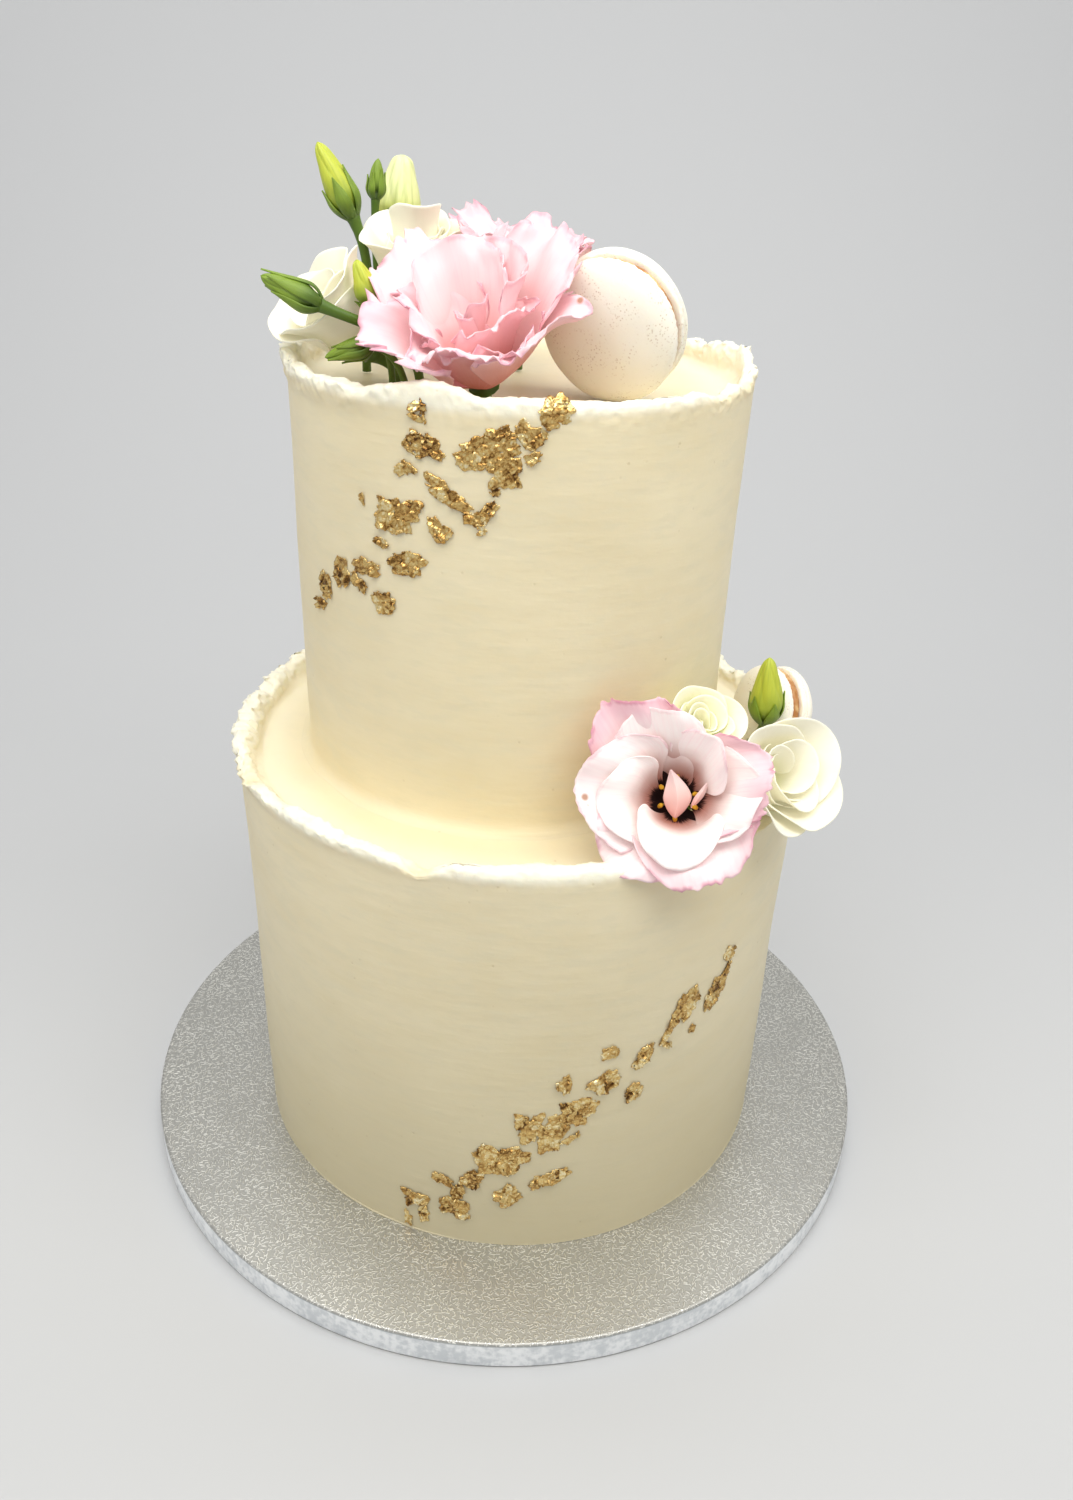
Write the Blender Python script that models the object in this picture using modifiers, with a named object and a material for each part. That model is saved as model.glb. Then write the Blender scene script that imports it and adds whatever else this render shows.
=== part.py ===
"""A two-tier buttercream cake on a round foil-covered drum board.

Two plain tiers with torn buttercream rims, gold leaf laid on their sides, and two
clusters of lisianthus flowers, buds and macarons: one on the top tier, one on the ledge.
Metres, +Z up. The origin is the middle of the board's underside, and -Y is the front.
An azimuth is measured about +Z from the front, towards +X.
"""

import math
import random
from typing import NamedTuple

import bmesh
import bpy
from mathutils import Matrix, Vector

MM = 0.001
GAP = 0.3 * MM

# Board
BOARD_RADIUS = 152.5 * MM
BOARD_THICK = 12 * MM
BOARD_EDGE = 1.2 * MM

# Tiers
LOWER_CENTRE = (2 * MM, -5 * MM)
LOWER_FOOT_RADIUS = 105 * MM
LOWER_RIM_RADIUS = 107 * MM
LOWER_RIM_Z = 181.5 * MM
LEDGE_Z = 175 * MM
LOWER_LIP = 6 * MM
UPPER_CENTRE = (-2 * MM, 0.0)
UPPER_FOOT_RADIUS = 77.5 * MM
UPPER_RIM_RADIUS = 78.5 * MM
UPPER_RIM_Z = 318.3 * MM
UPPER_TOP_Z = 309.5 * MM
UPPER_LIP = 5 * MM
RIM_LEAN = 2.2 * MM
LOWER_FILLET = 1.0 * MM
UPPER_FILLET = 5 * MM
TIER_STEPS = 56

# Petals and leaves
PETAL_THICK = 0.8 * MM
PETAL_CELLS = (4, 3)
SEPAL_CELLS = (2, 3)
SEPAL_THICK = 0.9 * MM
STEM_RADIUS = 1.5 * MM
TOP_STAND = 310.3
LEDGE_STAND = 175.9
THIN_SHARES = tuple(share / 100 for share in range(58, 94, 3))

# Macarons
MACARON_TOP_RADIUS = 22.2 * MM
MACARON_SIDE_RADIUS = 16.5 * MM
SHELL_TALL = 9 * MM
FILLING_TALL = 3.2 * MM
MACARON_STEPS = 20

# Gold leaf
FLAKE_PROUD = 0.5 * MM
FLAKE_SUNK = 1.2 * MM
FLAKE_POINTS = 7


class Bump(NamedTuple):
    """A rise (or a dip, if negative) of a rim: where, how wide and how high."""
    azimuth: float
    spread: float
    height: float


class Flake(NamedTuple):
    """A piece of gold leaf on a tier's side; sizes in millimetres."""
    azimuth: float
    z: float
    wide: float
    tall: float
    tilt: float


class Ring(NamedTuple):
    """Like petals set round a flower; sizes in millimetres, opens in degrees off the axis.

    The petals at the back are longer than those at the front by the share called rear.
    """
    turns: tuple
    length: float
    width: float
    opens: tuple
    overlap: float
    ruffle: float
    rear: float = 0.0


class Flower(NamedTuple):
    """Where a flower's foot is, which way and how far it leans, and its petals."""
    foot: tuple
    towards: float
    lean: float
    rings: tuple
    stem_to: tuple


class Bud(NamedTuple):
    """A bud from tip to base, its greatest width, and where its stem ends."""
    tip: tuple
    base: tuple
    width: float
    stem_to: tuple


LOWER_BUMPS = (
    Bump(-150, 14, 2.0), Bump(-118, 9, 2.4), Bump(-95, 6, 1.4), Bump(-80, 7, 1.8),
    Bump(-63, 7, -3.4), Bump(-17.4, 3.5, -5.0), Bump(-5, 7, 1.6), Bump(12, 8, 1.6),
    Bump(50, 24, -5.6), Bump(94, 13, -3.6), Bump(140, 12, 3.0), Bump(172, 8, -2.0),
)
UPPER_BUMPS = (
    Bump(-165, 14, 2.5), Bump(-120, 9, 3.0), Bump(-92, 7, 4.4), Bump(-74, 7, 3.6),
    Bump(-45, 8, 0.5), Bump(-17, 9, 2.8), Bump(5, 9, 1.4), Bump(55, 9, -3.0),
    Bump(72, 8, -3.4), Bump(98, 9, 2.4), Bump(125, 8, -2.4), Bump(150, 9, 2.2),
)

UPPER_GOLD = (
    Flake(-21.8, 313.5, 7, 6, 0), Flake(-20, 304.3, 12, 7.1, -17), Flake(-25.6, 296.7, 4.8, 3.9, 0),
    Flake(-15.5, 291.4, 16.1, 5.8, -27), Flake(-27, 282.7, 16.1, 11.9, 0), Flake(-31, 272.5, 3.6, 5.8, 66),
    Flake(-16.7, 279.6, 6.2, 8.9, 69), Flake(-4.3, 310.5, 8.3, 4, 8), Flake(-6.6, 304.6, 16.8, 9.8, 10),
    Flake(-2.7, 298, 10.4, 8, 20), Flake(-6.5, 286.8, 9.5, 4.5, 42), Flake(-9, 282.5, 5.7, 4.3, 10),
    Flake(2.3, 310.2, 6.2, 8.3, 60), Flake(3.1, 302, 3.8, 5.7, -60), Flake(7.9, 314.5, 9.1, 7, 0),
    Flake(-24.9, 267.7, 12.8, 8.1, 0), Flake(-36, 263.5, 10.3, 5.6, 0), Flake(-45.2, 257.5, 8.7, 9.7, 0),
    Flake(-53.6, 250.1, 8.7, 8, 0), Flake(-56.5, 242.4, 8.4, 4.5, 0), Flake(-31.5, 253.3, 8, 7.5, 0),
)
LOWER_GOLD = (
    Flake(18.4, 104.8, 7.3, 6.9, 18), Flake(25.4, 98.9, 11, 5.4, 54), Flake(9.8, 92.2, 5.7, 8.5, 0),
    Flake(17.9, 91.5, 12.9, 8, 18), Flake(24.1, 82.5, 7.7, 7.8, 23), Flake(12.7, 78.9, 13.2, 12.1, 0),
    Flake(4.1, 72.9, 11.4, 12, 0), Flake(9.2, 66.5, 12.9, 9, 20), Flake(-1.9, 57.8, 17.4, 14.9, -11),
    Flake(7.5, 46.5, 14.6, 6.1, 20), Flake(-0.3, 38.8, 11, 8.5, 30), Flake(-13.5, 43.6, 12.1, 5.1, -26),
    Flake(-7.4, 45.5, 9.6, 7, 0), Flake(-11, 29.5, 12.3, 9.7, 0), Flake(-19.2, 28.8, 10.7, 6, 0),
    Flake(-18.5, 20, 6.5, 8.5, 10), Flake(45.4, 129.2, 4.8, 7.3, 53), Flake(42, 116, 15.6, 7.5, 57),
    Flake(34, 116.7, 14.3, 10.6, 59), Flake(30.8, 105.5, 11.3, 4.1, 66), Flake(36.5, 103.5, 3.6, 4.5, 0),
)

FLOWERS = {
    "pink_flower_top": Flower(
        (-13, -43, 315.6), -22, 22,
        (Ring((-62, 8, 80, 152, -135), 46, 27, (68, 34, 74), 4.0, 2.2, 0.14),
         Ring((-98, -10, 68, 160), 37, 20, (46, 16, 42), 3.0, 1.8, 0.12),
         Ring((28,), 24, 10, (40, 5, 20), 1.0, 0.8)),
        (-12, -40, TOP_STAND)),
    "pink_flower_back": Flower(
        (-3, 6, 325), 20, 6,
        (Ring((-75, 0, 70, 145, -140), 37, 23, (50, 18, 62), 4.0, 2.0),
         Ring((30, -120), 26, 13, (35, 8, 25), 1.5, 1.0)),
        (-3, 10, TOP_STAND)),
    "white_flower_left": Flower(
        (-50, -16, 322), -84, 50,
        (Ring((-70, 5, 75, 145, -145), 31, 19, (48, 18, 62), 3.5, 1.4),
         Ring((-20, 140), 24, 12, (35, 8, 30), 1.5, 0.8)),
        (-42, -16, TOP_STAND)),
    "white_flower_back": Flower(
        (-38, 2, 328), -15, 8,
        (Ring((-80, -8, 64, 136, -152), 36, 20, (40, 14, 40), 3.5, 1.4),
         Ring((30, -120), 26, 12, (30, 6, 24), 1.5, 0.8)),
        (-38, 4, TOP_STAND)),
    "pink_flower_side": Flower(
        (54, -77, 190), -10, 57,
        (Ring((-40, 25, 95, -105, 195), 43, 25, (58, 26, 74), 4.0, 2.0),
         Ring((-8, 84, 172, -98), 33, 18, (44, 20, 58), 3.0, 1.2)),
        (57, -75, LEDGE_STAND)),
    "cream_flower_side": Flower(
        (58.5, -58.5, 200), 35, 32,
        (Ring((-60, 12, 84, 156, -132), 28, 15, (58, 20, 34), 3.0, 0.6),
         Ring((-100, 20, 140), 21, 10, (40, 4, 16), 2.0, 0.4)),
        (61, -59, LEDGE_STAND)),
    "white_flower_side": Flower(
        (80, -49, 178.5), 52, 56,
        (Ring((-70, 5, 75, 145, -145), 36, 20, (40, 20, 68), 3.5, 1.0),
         Ring((-20, 140), 27, 12, (34, 6, 30), 1.5, 0.6)),
        (79, -47, LEDGE_STAND)),
}

BUDS = {
    "bud_tall": Bud((-67, -3, 379.5), (-57, -3, 359), 11.5, (-54, -2, TOP_STAND)),
    "bud_small_green": Bud((-50.8, 20, 374.3), (-52, 20, 363), 6, (-51, 21, TOP_STAND)),
    "bud_pale": Bud((-44, 35, 374.6), (-46.8, 35, 352.6), 14, (-41, 33, TOP_STAND)),
    "bud_left": Bud((-79, -44, 345.5), (-62.6, -44, 338), 9.3, (-34, -26, TOP_STAND)),
    "bud_middle": Bud((-52, -34, 349.5), (-48, -34, 336.5), 7.5, (-43, -25, TOP_STAND)),
    "bud_front": Bud((-61.5, -43, 322.5), (-48.3, -42, 326), 6.5, (-37, -40, TOP_STAND)),
    "bud_side": Bud((88.7, -32, 222.5), (90.2, -31, 197), 12, (84, -25, LEDGE_STAND)),
}


def remove_everything():
    for thing in list(bpy.data.objects):
        bpy.data.objects.remove(thing, do_unlink=True)


def make_collection(name):
    made = bpy.data.collections.new(name)
    bpy.context.scene.collection.children.link(made)
    return made


def make_material(name, colour, roughness, metallic=0.0):
    made = bpy.data.materials.new(name)
    made.use_nodes = True
    shader = made.node_tree.nodes["Principled BSDF"]
    shader.inputs["Base Color"].default_value = (*colour, 1.0)
    shader.inputs["Roughness"].default_value = roughness
    shader.inputs["Metallic"].default_value = metallic
    made.diffuse_color = (*colour, 1.0)
    return made


def add_object(name, mesh, collection, material=None):
    thing = bpy.data.objects.new(name, mesh)
    collection.objects.link(thing)
    if material:
        mesh.materials.clear()
        mesh.materials.append(material)
    return thing


def bake(thing):
    """Make the object's modifiers part of its mesh."""
    graph = bpy.context.evaluated_depsgraph_get()
    mesh = bpy.data.meshes.new_from_object(thing.evaluated_get(graph))
    thing.modifiers.clear()
    thing.data = mesh
    return mesh


def turned(name, profile, steps, collection, material):
    """A solid turned from a profile that runs from the axis at the top to the axis below."""
    mesh = bpy.data.meshes.new(name)
    edges = [(i, i + 1) for i in range(len(profile) - 1)]
    mesh.from_pydata([(r, 0.0, z) for r, z in profile], edges, [])
    thing = add_object(name, mesh, collection, material)
    screw = thing.modifiers.new("Turn", "SCREW")
    screw.steps = steps
    screw.render_steps = steps
    screw.use_merge_vertices = True
    screw.merge_threshold = 0.01 * MM
    bake(thing).shade_smooth()
    return thing


def azimuth_of(x, y):
    return math.degrees(math.atan2(x, -y))


def rim_height(azimuth, bumps, phase):
    """How far a rim rises above its plain height at an azimuth: bumps and fine tears."""
    rise = 0.0
    for bump in bumps:
        away = (azimuth - bump.azimuth + 180) % 360 - 180
        rise += bump.height * math.exp(-(away / bump.spread) ** 2)
    turn = math.radians(azimuth)
    left = 0.5 - 0.5 * math.sin(turn)
    rise += (0.3 + 0.9 * left) * (math.sin(23 * turn + phase) + 0.6 * math.sin(37 * turn + 2 * phase))
    return rise * MM


def lip_width(azimuth, plain):
    """The rim's lip is thick and layered on the left and at the back."""
    turn = math.radians(azimuth)
    left = 0.5 - 0.5 * math.sin(turn + 0.3)
    return plain * (1 + 0.2 * left + 0.22 * math.sin(7 * turn) + 0.15 * math.sin(19 * turn + 1))


def foot_profile(foot_z, foot_radius, fillet):
    """The hollow curve of icing between a tier's side and what it stands on."""
    outline = [(foot_radius, foot_z + fillet), (foot_radius + fillet, foot_z)]
    if fillet > 2 * MM:
        outline.insert(1, (foot_radius + 0.29 * fillet, foot_z + 0.29 * fillet))
    return outline


def tier_profile(foot_z, foot_radius, rim_radius, top_z, rim_z, lip, fillet):
    """Outline of a tier: sunk top, upright lip, side that leans out a little, filleted foot."""
    inner = rim_radius - lip
    return [
        (0.0, top_z), (inner * 0.55, top_z), (inner - 3 * MM, top_z),
        (inner - 0.5 * MM, top_z + 1.2 * MM), (inner, (top_z + rim_z) / 2),
        (inner + 1.5 * MM, rim_z), (rim_radius - 1.2 * MM, rim_z),
        (rim_radius, rim_z - 1.8 * MM), (rim_radius, rim_z - 9 * MM),
        ((rim_radius + foot_radius) / 2, (rim_z + foot_z) / 2),
    ] + foot_profile(foot_z, foot_radius, fillet) + [(0.0, foot_z)]


def roughen_tier(mesh, top_z, rim_z, rim_radius, lip, bumps, phase):
    """Tear the rim, lean it out on the left and keep the side from being quite round."""
    inner = rim_radius - lip
    for point in mesh.vertices:
        x, y, z = point.co
        radius = math.hypot(x, y)
        azimuth = azimuth_of(x, y)
        if z > top_z + 0.5 * MM and radius < inner + 2 * MM:
            radius -= lip_width(azimuth, lip) - lip
        if z > top_z + 2 * MM and radius > inner - lip * 1.5:
            share = min(1.0, (z - top_z) / (rim_z - top_z))
            point.co.z += rim_height(azimuth, bumps, phase) * share
            radius += RIM_LEAN * share * max(0.0, -math.sin(math.radians(azimuth)))
        if radius > inner:
            turn = math.radians(azimuth)
            radius += 0.35 * MM * (math.sin(3 * turn + phase) + math.sin(5 * turn + 40 * z))
        point.co.x = radius * math.sin(math.radians(azimuth))
        point.co.y = -radius * math.cos(math.radians(azimuth))


def side_radius(z, foot_z, foot_radius, rim_radius, rim_z):
    share = (z - foot_z) / (rim_z - foot_z)
    return foot_radius + (rim_radius - foot_radius) * min(1.0, max(0.0, share))


def flake_mesh(name, flake, radius_at, draw):
    """A ragged plate of gold leaf, bent round the tier's side."""
    grid = bmesh.new()
    middle_z = flake.z * MM
    tilt = math.radians(flake.tilt)
    made = {}
    for depth in (FLAKE_PROUD, -FLAKE_SUNK):
        ring = []
        shape = random.Random(draw)
        for step in range(FLAKE_POINTS):
            turn = 2 * math.pi * step / FLAKE_POINTS
            reach = shape.uniform(0.72, 1.12)
            across = 0.5 * flake.wide * MM * reach * math.cos(turn)
            along = 0.5 * flake.tall * MM * reach * math.sin(turn)
            side = across * math.cos(tilt) - along * math.sin(tilt)
            z = middle_z + across * math.sin(tilt) + along * math.cos(tilt)
            radius = radius_at(z)
            angle = math.radians(flake.azimuth) + side / radius
            out = radius + depth
            ring.append(grid.verts.new((out * math.sin(angle), -out * math.cos(angle), z)))
        made[depth] = ring
    grid.faces.new(made[FLAKE_PROUD])
    grid.faces.new(made[-FLAKE_SUNK][::-1])
    bmesh.ops.bridge_loops(grid, edges=[e for e in grid.edges if len(e.link_faces) == 1])
    bmesh.ops.recalc_face_normals(grid, faces=grid.faces)
    front = [f for f in grid.faces if len(f.verts) > 4]
    bmesh.ops.triangulate(grid, faces=front)
    mesh = bpy.data.meshes.new(name)
    grid.to_mesh(mesh)
    grid.free()
    return mesh


def fuse(thing, pieces):
    """Join the pieces to the object with one Boolean union, and keep one closed body."""
    extra = make_collection(thing.name + "_pieces")
    for piece in pieces:
        for holder in list(piece.users_collection):
            holder.objects.unlink(piece)
        extra.objects.link(piece)
    union = thing.modifiers.new("Fuse", "BOOLEAN")
    union.operation = "UNION"
    union.operand_type = "COLLECTION"
    union.collection = extra
    union.solver = "EXACT"
    mesh = bake(thing)
    for piece in pieces:
        bpy.data.objects.remove(piece, do_unlink=True)
    bpy.data.collections.remove(extra)
    keep_largest_shell(mesh)
    return thing


def thin_out(thing):
    """Merge the slivers that the union leaves, as far as the body stays closed."""
    whole = thing.data
    for share in THIN_SHARES:
        thing.data = whole
        thin = thing.modifiers.new("Thin", "DECIMATE")
        thin.ratio = share
        if is_closed(bake(thing)):
            return
    thing.data = whole


def is_closed(mesh):
    body = bmesh.new()
    body.from_mesh(mesh)
    closed = all(len(edge.link_faces) == 2 for edge in body.edges)
    body.free()
    return closed


def keep_largest_shell(mesh):
    """Drop loose scraps and the inner skin of any hollow that fusing sealed."""
    body = bmesh.new()
    body.from_mesh(mesh)
    bmesh.ops.remove_doubles(body, verts=body.verts, dist=0.002 * MM)
    bmesh.ops.dissolve_degenerate(body, edges=body.edges, dist=0.002 * MM)
    unseen = set(body.verts)
    shells = []
    while unseen:
        start = unseen.pop()
        shell = [start]
        queue = [start]
        while queue:
            for edge in queue.pop().link_edges:
                for vert in edge.verts:
                    if vert in unseen:
                        unseen.remove(vert)
                        shell.append(vert)
                        queue.append(vert)
        shells.append(shell)
    shells.sort(key=len)
    for shell in shells[:-1]:
        bmesh.ops.delete(body, geom=shell, context="VERTS")
    body.to_mesh(mesh)
    body.free()


def make_board(collection, material):
    bpy.ops.mesh.primitive_cylinder_add(
        vertices=72, radius=BOARD_RADIUS, depth=BOARD_THICK, location=(0, 0, BOARD_THICK / 2))
    board = bpy.context.object
    board.name = "board"
    for holder in list(board.users_collection):
        holder.objects.unlink(board)
    collection.objects.link(board)
    board.data.materials.append(material)
    bevel = board.modifiers.new("Edge", "BEVEL")
    bevel.width = BOARD_EDGE
    bevel.segments = 1
    bevel.limit_method = "ANGLE"
    return board


def make_tier(name, centre, sizes, bumps, phase, gold, collection, material):
    foot_z, foot_radius, rim_radius, top_z, rim_z, lip, fillet = sizes
    tier = turned(name, tier_profile(*sizes), TIER_STEPS, collection, material)
    roughen_tier(tier.data, top_z, rim_z, rim_radius, lip, bumps, phase)

    def radius_at(z):
        return side_radius(z, foot_z, foot_radius, rim_radius, rim_z)

    flakes = []
    for number, flake in enumerate(gold):
        flake_name = f"{name}_gold_{number}"
        mesh = flake_mesh(flake_name, flake, radius_at, 100 + number)
        flakes.append(add_object(flake_name, mesh, collection))
    fuse(tier, flakes)
    tier.data.set_sharp_from_angle(angle=math.radians(35))
    tier.data.transform(Matrix.Translation((*centre, 0.0)))
    return tier


def profile_at(share, length, opens):
    """Reach and rise of a petal at a share of its length, and its lean there in radians."""
    steps = 12
    reach = rise = 0.0
    for step in range(steps):
        here = share * (step + 0.5) / steps
        lean = lean_at(here, opens)
        reach += math.sin(lean) * length * share / steps
        rise += math.cos(lean) * length * share / steps
    return reach, rise, lean_at(share, opens)


def lean_at(share, opens):
    """The petal's lean off the flower's axis: foot, middle and lip, blended along it."""
    foot, middle, lip = opens
    if share < 0.5:
        return math.radians(foot + (middle - foot) * share * 2)
    return math.radians(middle + (lip - middle) * (share * 2 - 1) ** 1.5)


def petal_point(across, along, ring, turn, phase):
    """A point of a petal: across runs from -1 to 1, along from foot (0) to lip (1)."""
    share = along * (1 - 0.24 * abs(across) ** 2.5)
    reach, rise, lean = profile_at(share, ring.length, ring.opens)
    half = ring.width * (0.08 + 0.92 * math.sin(math.pi / 2 * min(1.0, share / 0.75)) ** 2)
    angle = math.radians(turn) + across * half / max(reach + 2.5, 0.45 * half)
    reach += 1.2 + ring.overlap * across * share
    ripple = ring.ruffle * share ** 3 * math.sin(2.2 * math.pi * across + phase)
    reach += ripple * math.cos(lean)
    rise -= ripple * math.sin(lean)
    return Vector((reach * math.sin(angle), -reach * math.cos(angle), rise)) * MM


def sheet_mesh(name, cells, surface, thick):
    """A thin solid over a surface function of across (-1 to 1) and along (0 to 1)."""
    grid = bmesh.new()
    bmesh.ops.create_grid(grid, x_segments=cells[0], y_segments=cells[1], size=1.0)
    for vert in grid.verts:
        vert.co = surface(vert.co.x, (vert.co.y + 1) / 2)
    bmesh.ops.triangulate(grid, faces=grid.faces)
    grid.normal_update()
    bmesh.ops.solidify(grid, geom=grid.faces[:], thickness=thick)
    bmesh.ops.recalc_face_normals(grid, faces=grid.faces)
    mesh = bpy.data.meshes.new(name)
    grid.to_mesh(mesh)
    grid.free()
    return mesh


def tube_mesh(name, route, radius):
    """A round stem along a smooth route of points in millimetres, as a closed mesh."""
    curve = bpy.data.curves.new(name, "CURVE")
    curve.dimensions = "3D"
    curve.bevel_depth = radius
    curve.bevel_resolution = 1
    curve.use_fill_caps = True
    spline = curve.splines.new("POLY")
    spline.points.add(len(route) - 1)
    for point, place in zip(spline.points, route):
        point.co = (*(Vector(place) * MM), 1.0)
    holder = bpy.data.objects.new(name, curve)
    bpy.context.scene.collection.objects.link(holder)
    graph = bpy.context.evaluated_depsgraph_get()
    mesh = bpy.data.meshes.new_from_object(holder.evaluated_get(graph))
    bpy.data.objects.remove(holder, do_unlink=True)
    body = bmesh.new()
    body.from_mesh(mesh)
    bmesh.ops.remove_doubles(body, verts=body.verts, dist=0.01 * MM)
    bmesh.ops.recalc_face_normals(body, faces=body.faces)
    body.to_mesh(mesh)
    body.free()
    return mesh


def bent_route(start, heading, end, count=5):
    """Points of a stem that leaves start along heading and comes down upright onto end."""
    start, end = Vector(start), Vector(end)
    reach = (end - start).length * 0.4
    first = start + Vector(heading).normalized() * reach
    last = end + Vector((0, 0, reach))
    route = []
    for step in range(count):
        t = step / (count - 1)
        route.append(start * (1 - t) ** 3 + first * 3 * t * (1 - t) ** 2
                     + last * 3 * t * t * (1 - t) + end * t ** 3)
    return route


def flower_frame(flower):
    place = Matrix.Translation(Vector(flower.foot) * MM)
    swing = Matrix.Rotation(math.radians(flower.towards), 4, "Z")
    return place @ swing @ Matrix.Rotation(math.radians(flower.lean), 4, "X")


def make_flower(name, flower, collection, material, draw):
    frame = flower_frame(flower)
    core = turned(name, [(0, 4 * MM), (3 * MM, 3 * MM), (4 * MM, 0.5 * MM), (3 * MM, -2 * MM),
                         (1.6 * MM, -3 * MM), (0, -3 * MM)], 10, collection, material)
    core.data.transform(frame)
    shape = random.Random(draw)
    petals = []
    for ring in flower.rings:
        for turn in ring.turns:
            longer = 1 - ring.rear * math.cos(math.radians(turn))
            varied = ring._replace(length=ring.length * longer * shape.uniform(0.93, 1.07),
                                   width=ring.width * shape.uniform(0.94, 1.06))
            phase = shape.uniform(0, 2 * math.pi)

            def surface(across, along, ring=varied, turn=turn, phase=phase):
                return petal_point(across, along, ring, turn, phase)

            mesh = sheet_mesh(f"{name}_petal", PETAL_CELLS, surface, PETAL_THICK)
            mesh.transform(frame)
            petals.append(add_object(f"{name}_petal_{len(petals)}", mesh, collection))
    down = frame.to_3x3() @ Vector((0, 0, -1))
    start = Vector(flower.foot) + down * 1.0
    stem = tube_mesh(name + "_stem", bent_route(start, down, flower.stem_to, 4), STEM_RADIUS)
    petals.append(add_object(name + "_stem", stem, collection))
    fuse(core, petals)
    thin_out(core)
    return core


def sepal_point(across, along, length, radius):
    """A pointed leaf that hugs a bud and turns its tip out."""
    bulge = radius * math.sin(math.pi * (0.12 + 0.62 * along)) + 0.4
    hook = 1.6 * max(0.0, along - 0.7) / 0.3
    half = radius * 0.75 * math.sin(math.pi * (0.18 + 0.8 * along)) + 0.15
    angle = across * half / bulge
    reach = bulge + hook
    return Vector((reach * math.sin(angle), -reach * math.cos(angle), length * along - 1.0)) * MM


def make_bud(name, bud, collection, material):
    tip, base = Vector(bud.tip), Vector(bud.base)
    length = (tip - base).length
    radius = bud.width / 2
    frame = Matrix.Translation(base * MM) @ (tip - base).to_track_quat("Z", "Y").to_matrix().to_4x4()
    shape = ((1.0, 0.0), (0.97, 0.2), (0.7, 0.66), (0.36, 1.0), (0.12, 0.78), (0.0, 0.3), (0.0, 0.0))
    body = turned(name, [(radius * r * MM, length * z * MM) for z, r in shape], 8, collection, material)
    body.data.transform(frame)
    sepals = []
    for number in range(3):
        turn = Matrix.Rotation(math.radians(120 * number + 20), 4, "Z")

        def surface(across, along):
            return sepal_point(across, along, length * 0.72, radius)

        mesh = sheet_mesh(f"{name}_sepal", SEPAL_CELLS, surface, SEPAL_THICK)
        mesh.transform(frame @ turn)
        sepals.append(add_object(f"{name}_sepal_{number}", mesh, collection))
    down = (base - tip).normalized()
    stem = tube_mesh(name + "_stem", bent_route(base + down * -1.5, down, bud.stem_to), STEM_RADIUS)
    sepals.append(add_object(name + "_stem", stem, collection))
    fuse(body, sepals)
    thin_out(body)
    return body


def shell_profile(radius, foot_z):
    """One macaron shell, dome up, its ragged foot at foot_z."""
    r, h = radius, SHELL_TALL
    return [(0.0, foot_z + h), (r * 0.45, foot_z + h * 0.94), (r * 0.78, foot_z + h * 0.76),
            (r * 0.96, foot_z + h * 0.45), (r, foot_z + h * 0.24), (r * 0.965, foot_z + h * 0.2),
            (r * 0.985, foot_z + h * 0.1), (r * 0.95, foot_z), (0.0, foot_z)]


def make_macaron(name, radius, centre, towards, rise, collection, shell_material, filling_material):
    """Two shells and a filling; towards and rise give the way the front shell faces."""
    swing = Matrix.Rotation(math.radians(towards), 4, "Z")
    tilt = Matrix.Rotation(math.radians(90 - rise), 4, "X")
    frame = Matrix.Translation(Vector(centre) * MM) @ swing @ tilt
    half = FILLING_TALL / 2
    profile = shell_profile(radius, half + GAP)
    front = turned(name + "_front_shell", profile, MACARON_STEPS, collection, shell_material)
    back = turned(name + "_back_shell", profile, MACARON_STEPS, collection, shell_material)
    back.data.transform(Matrix.Rotation(math.pi, 4, "X"))
    r = radius * 0.93
    edge = [(0.0, half), (r * 0.96, half), (r, half * 0.4), (r * 0.99, -half * 0.5),
            (r * 0.95, -half), (0.0, -half)]
    filling = turned(name + "_filling", edge, MACARON_STEPS, collection, filling_material)
    for piece in (front, back, filling):
        piece.data.transform(frame)


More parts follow.
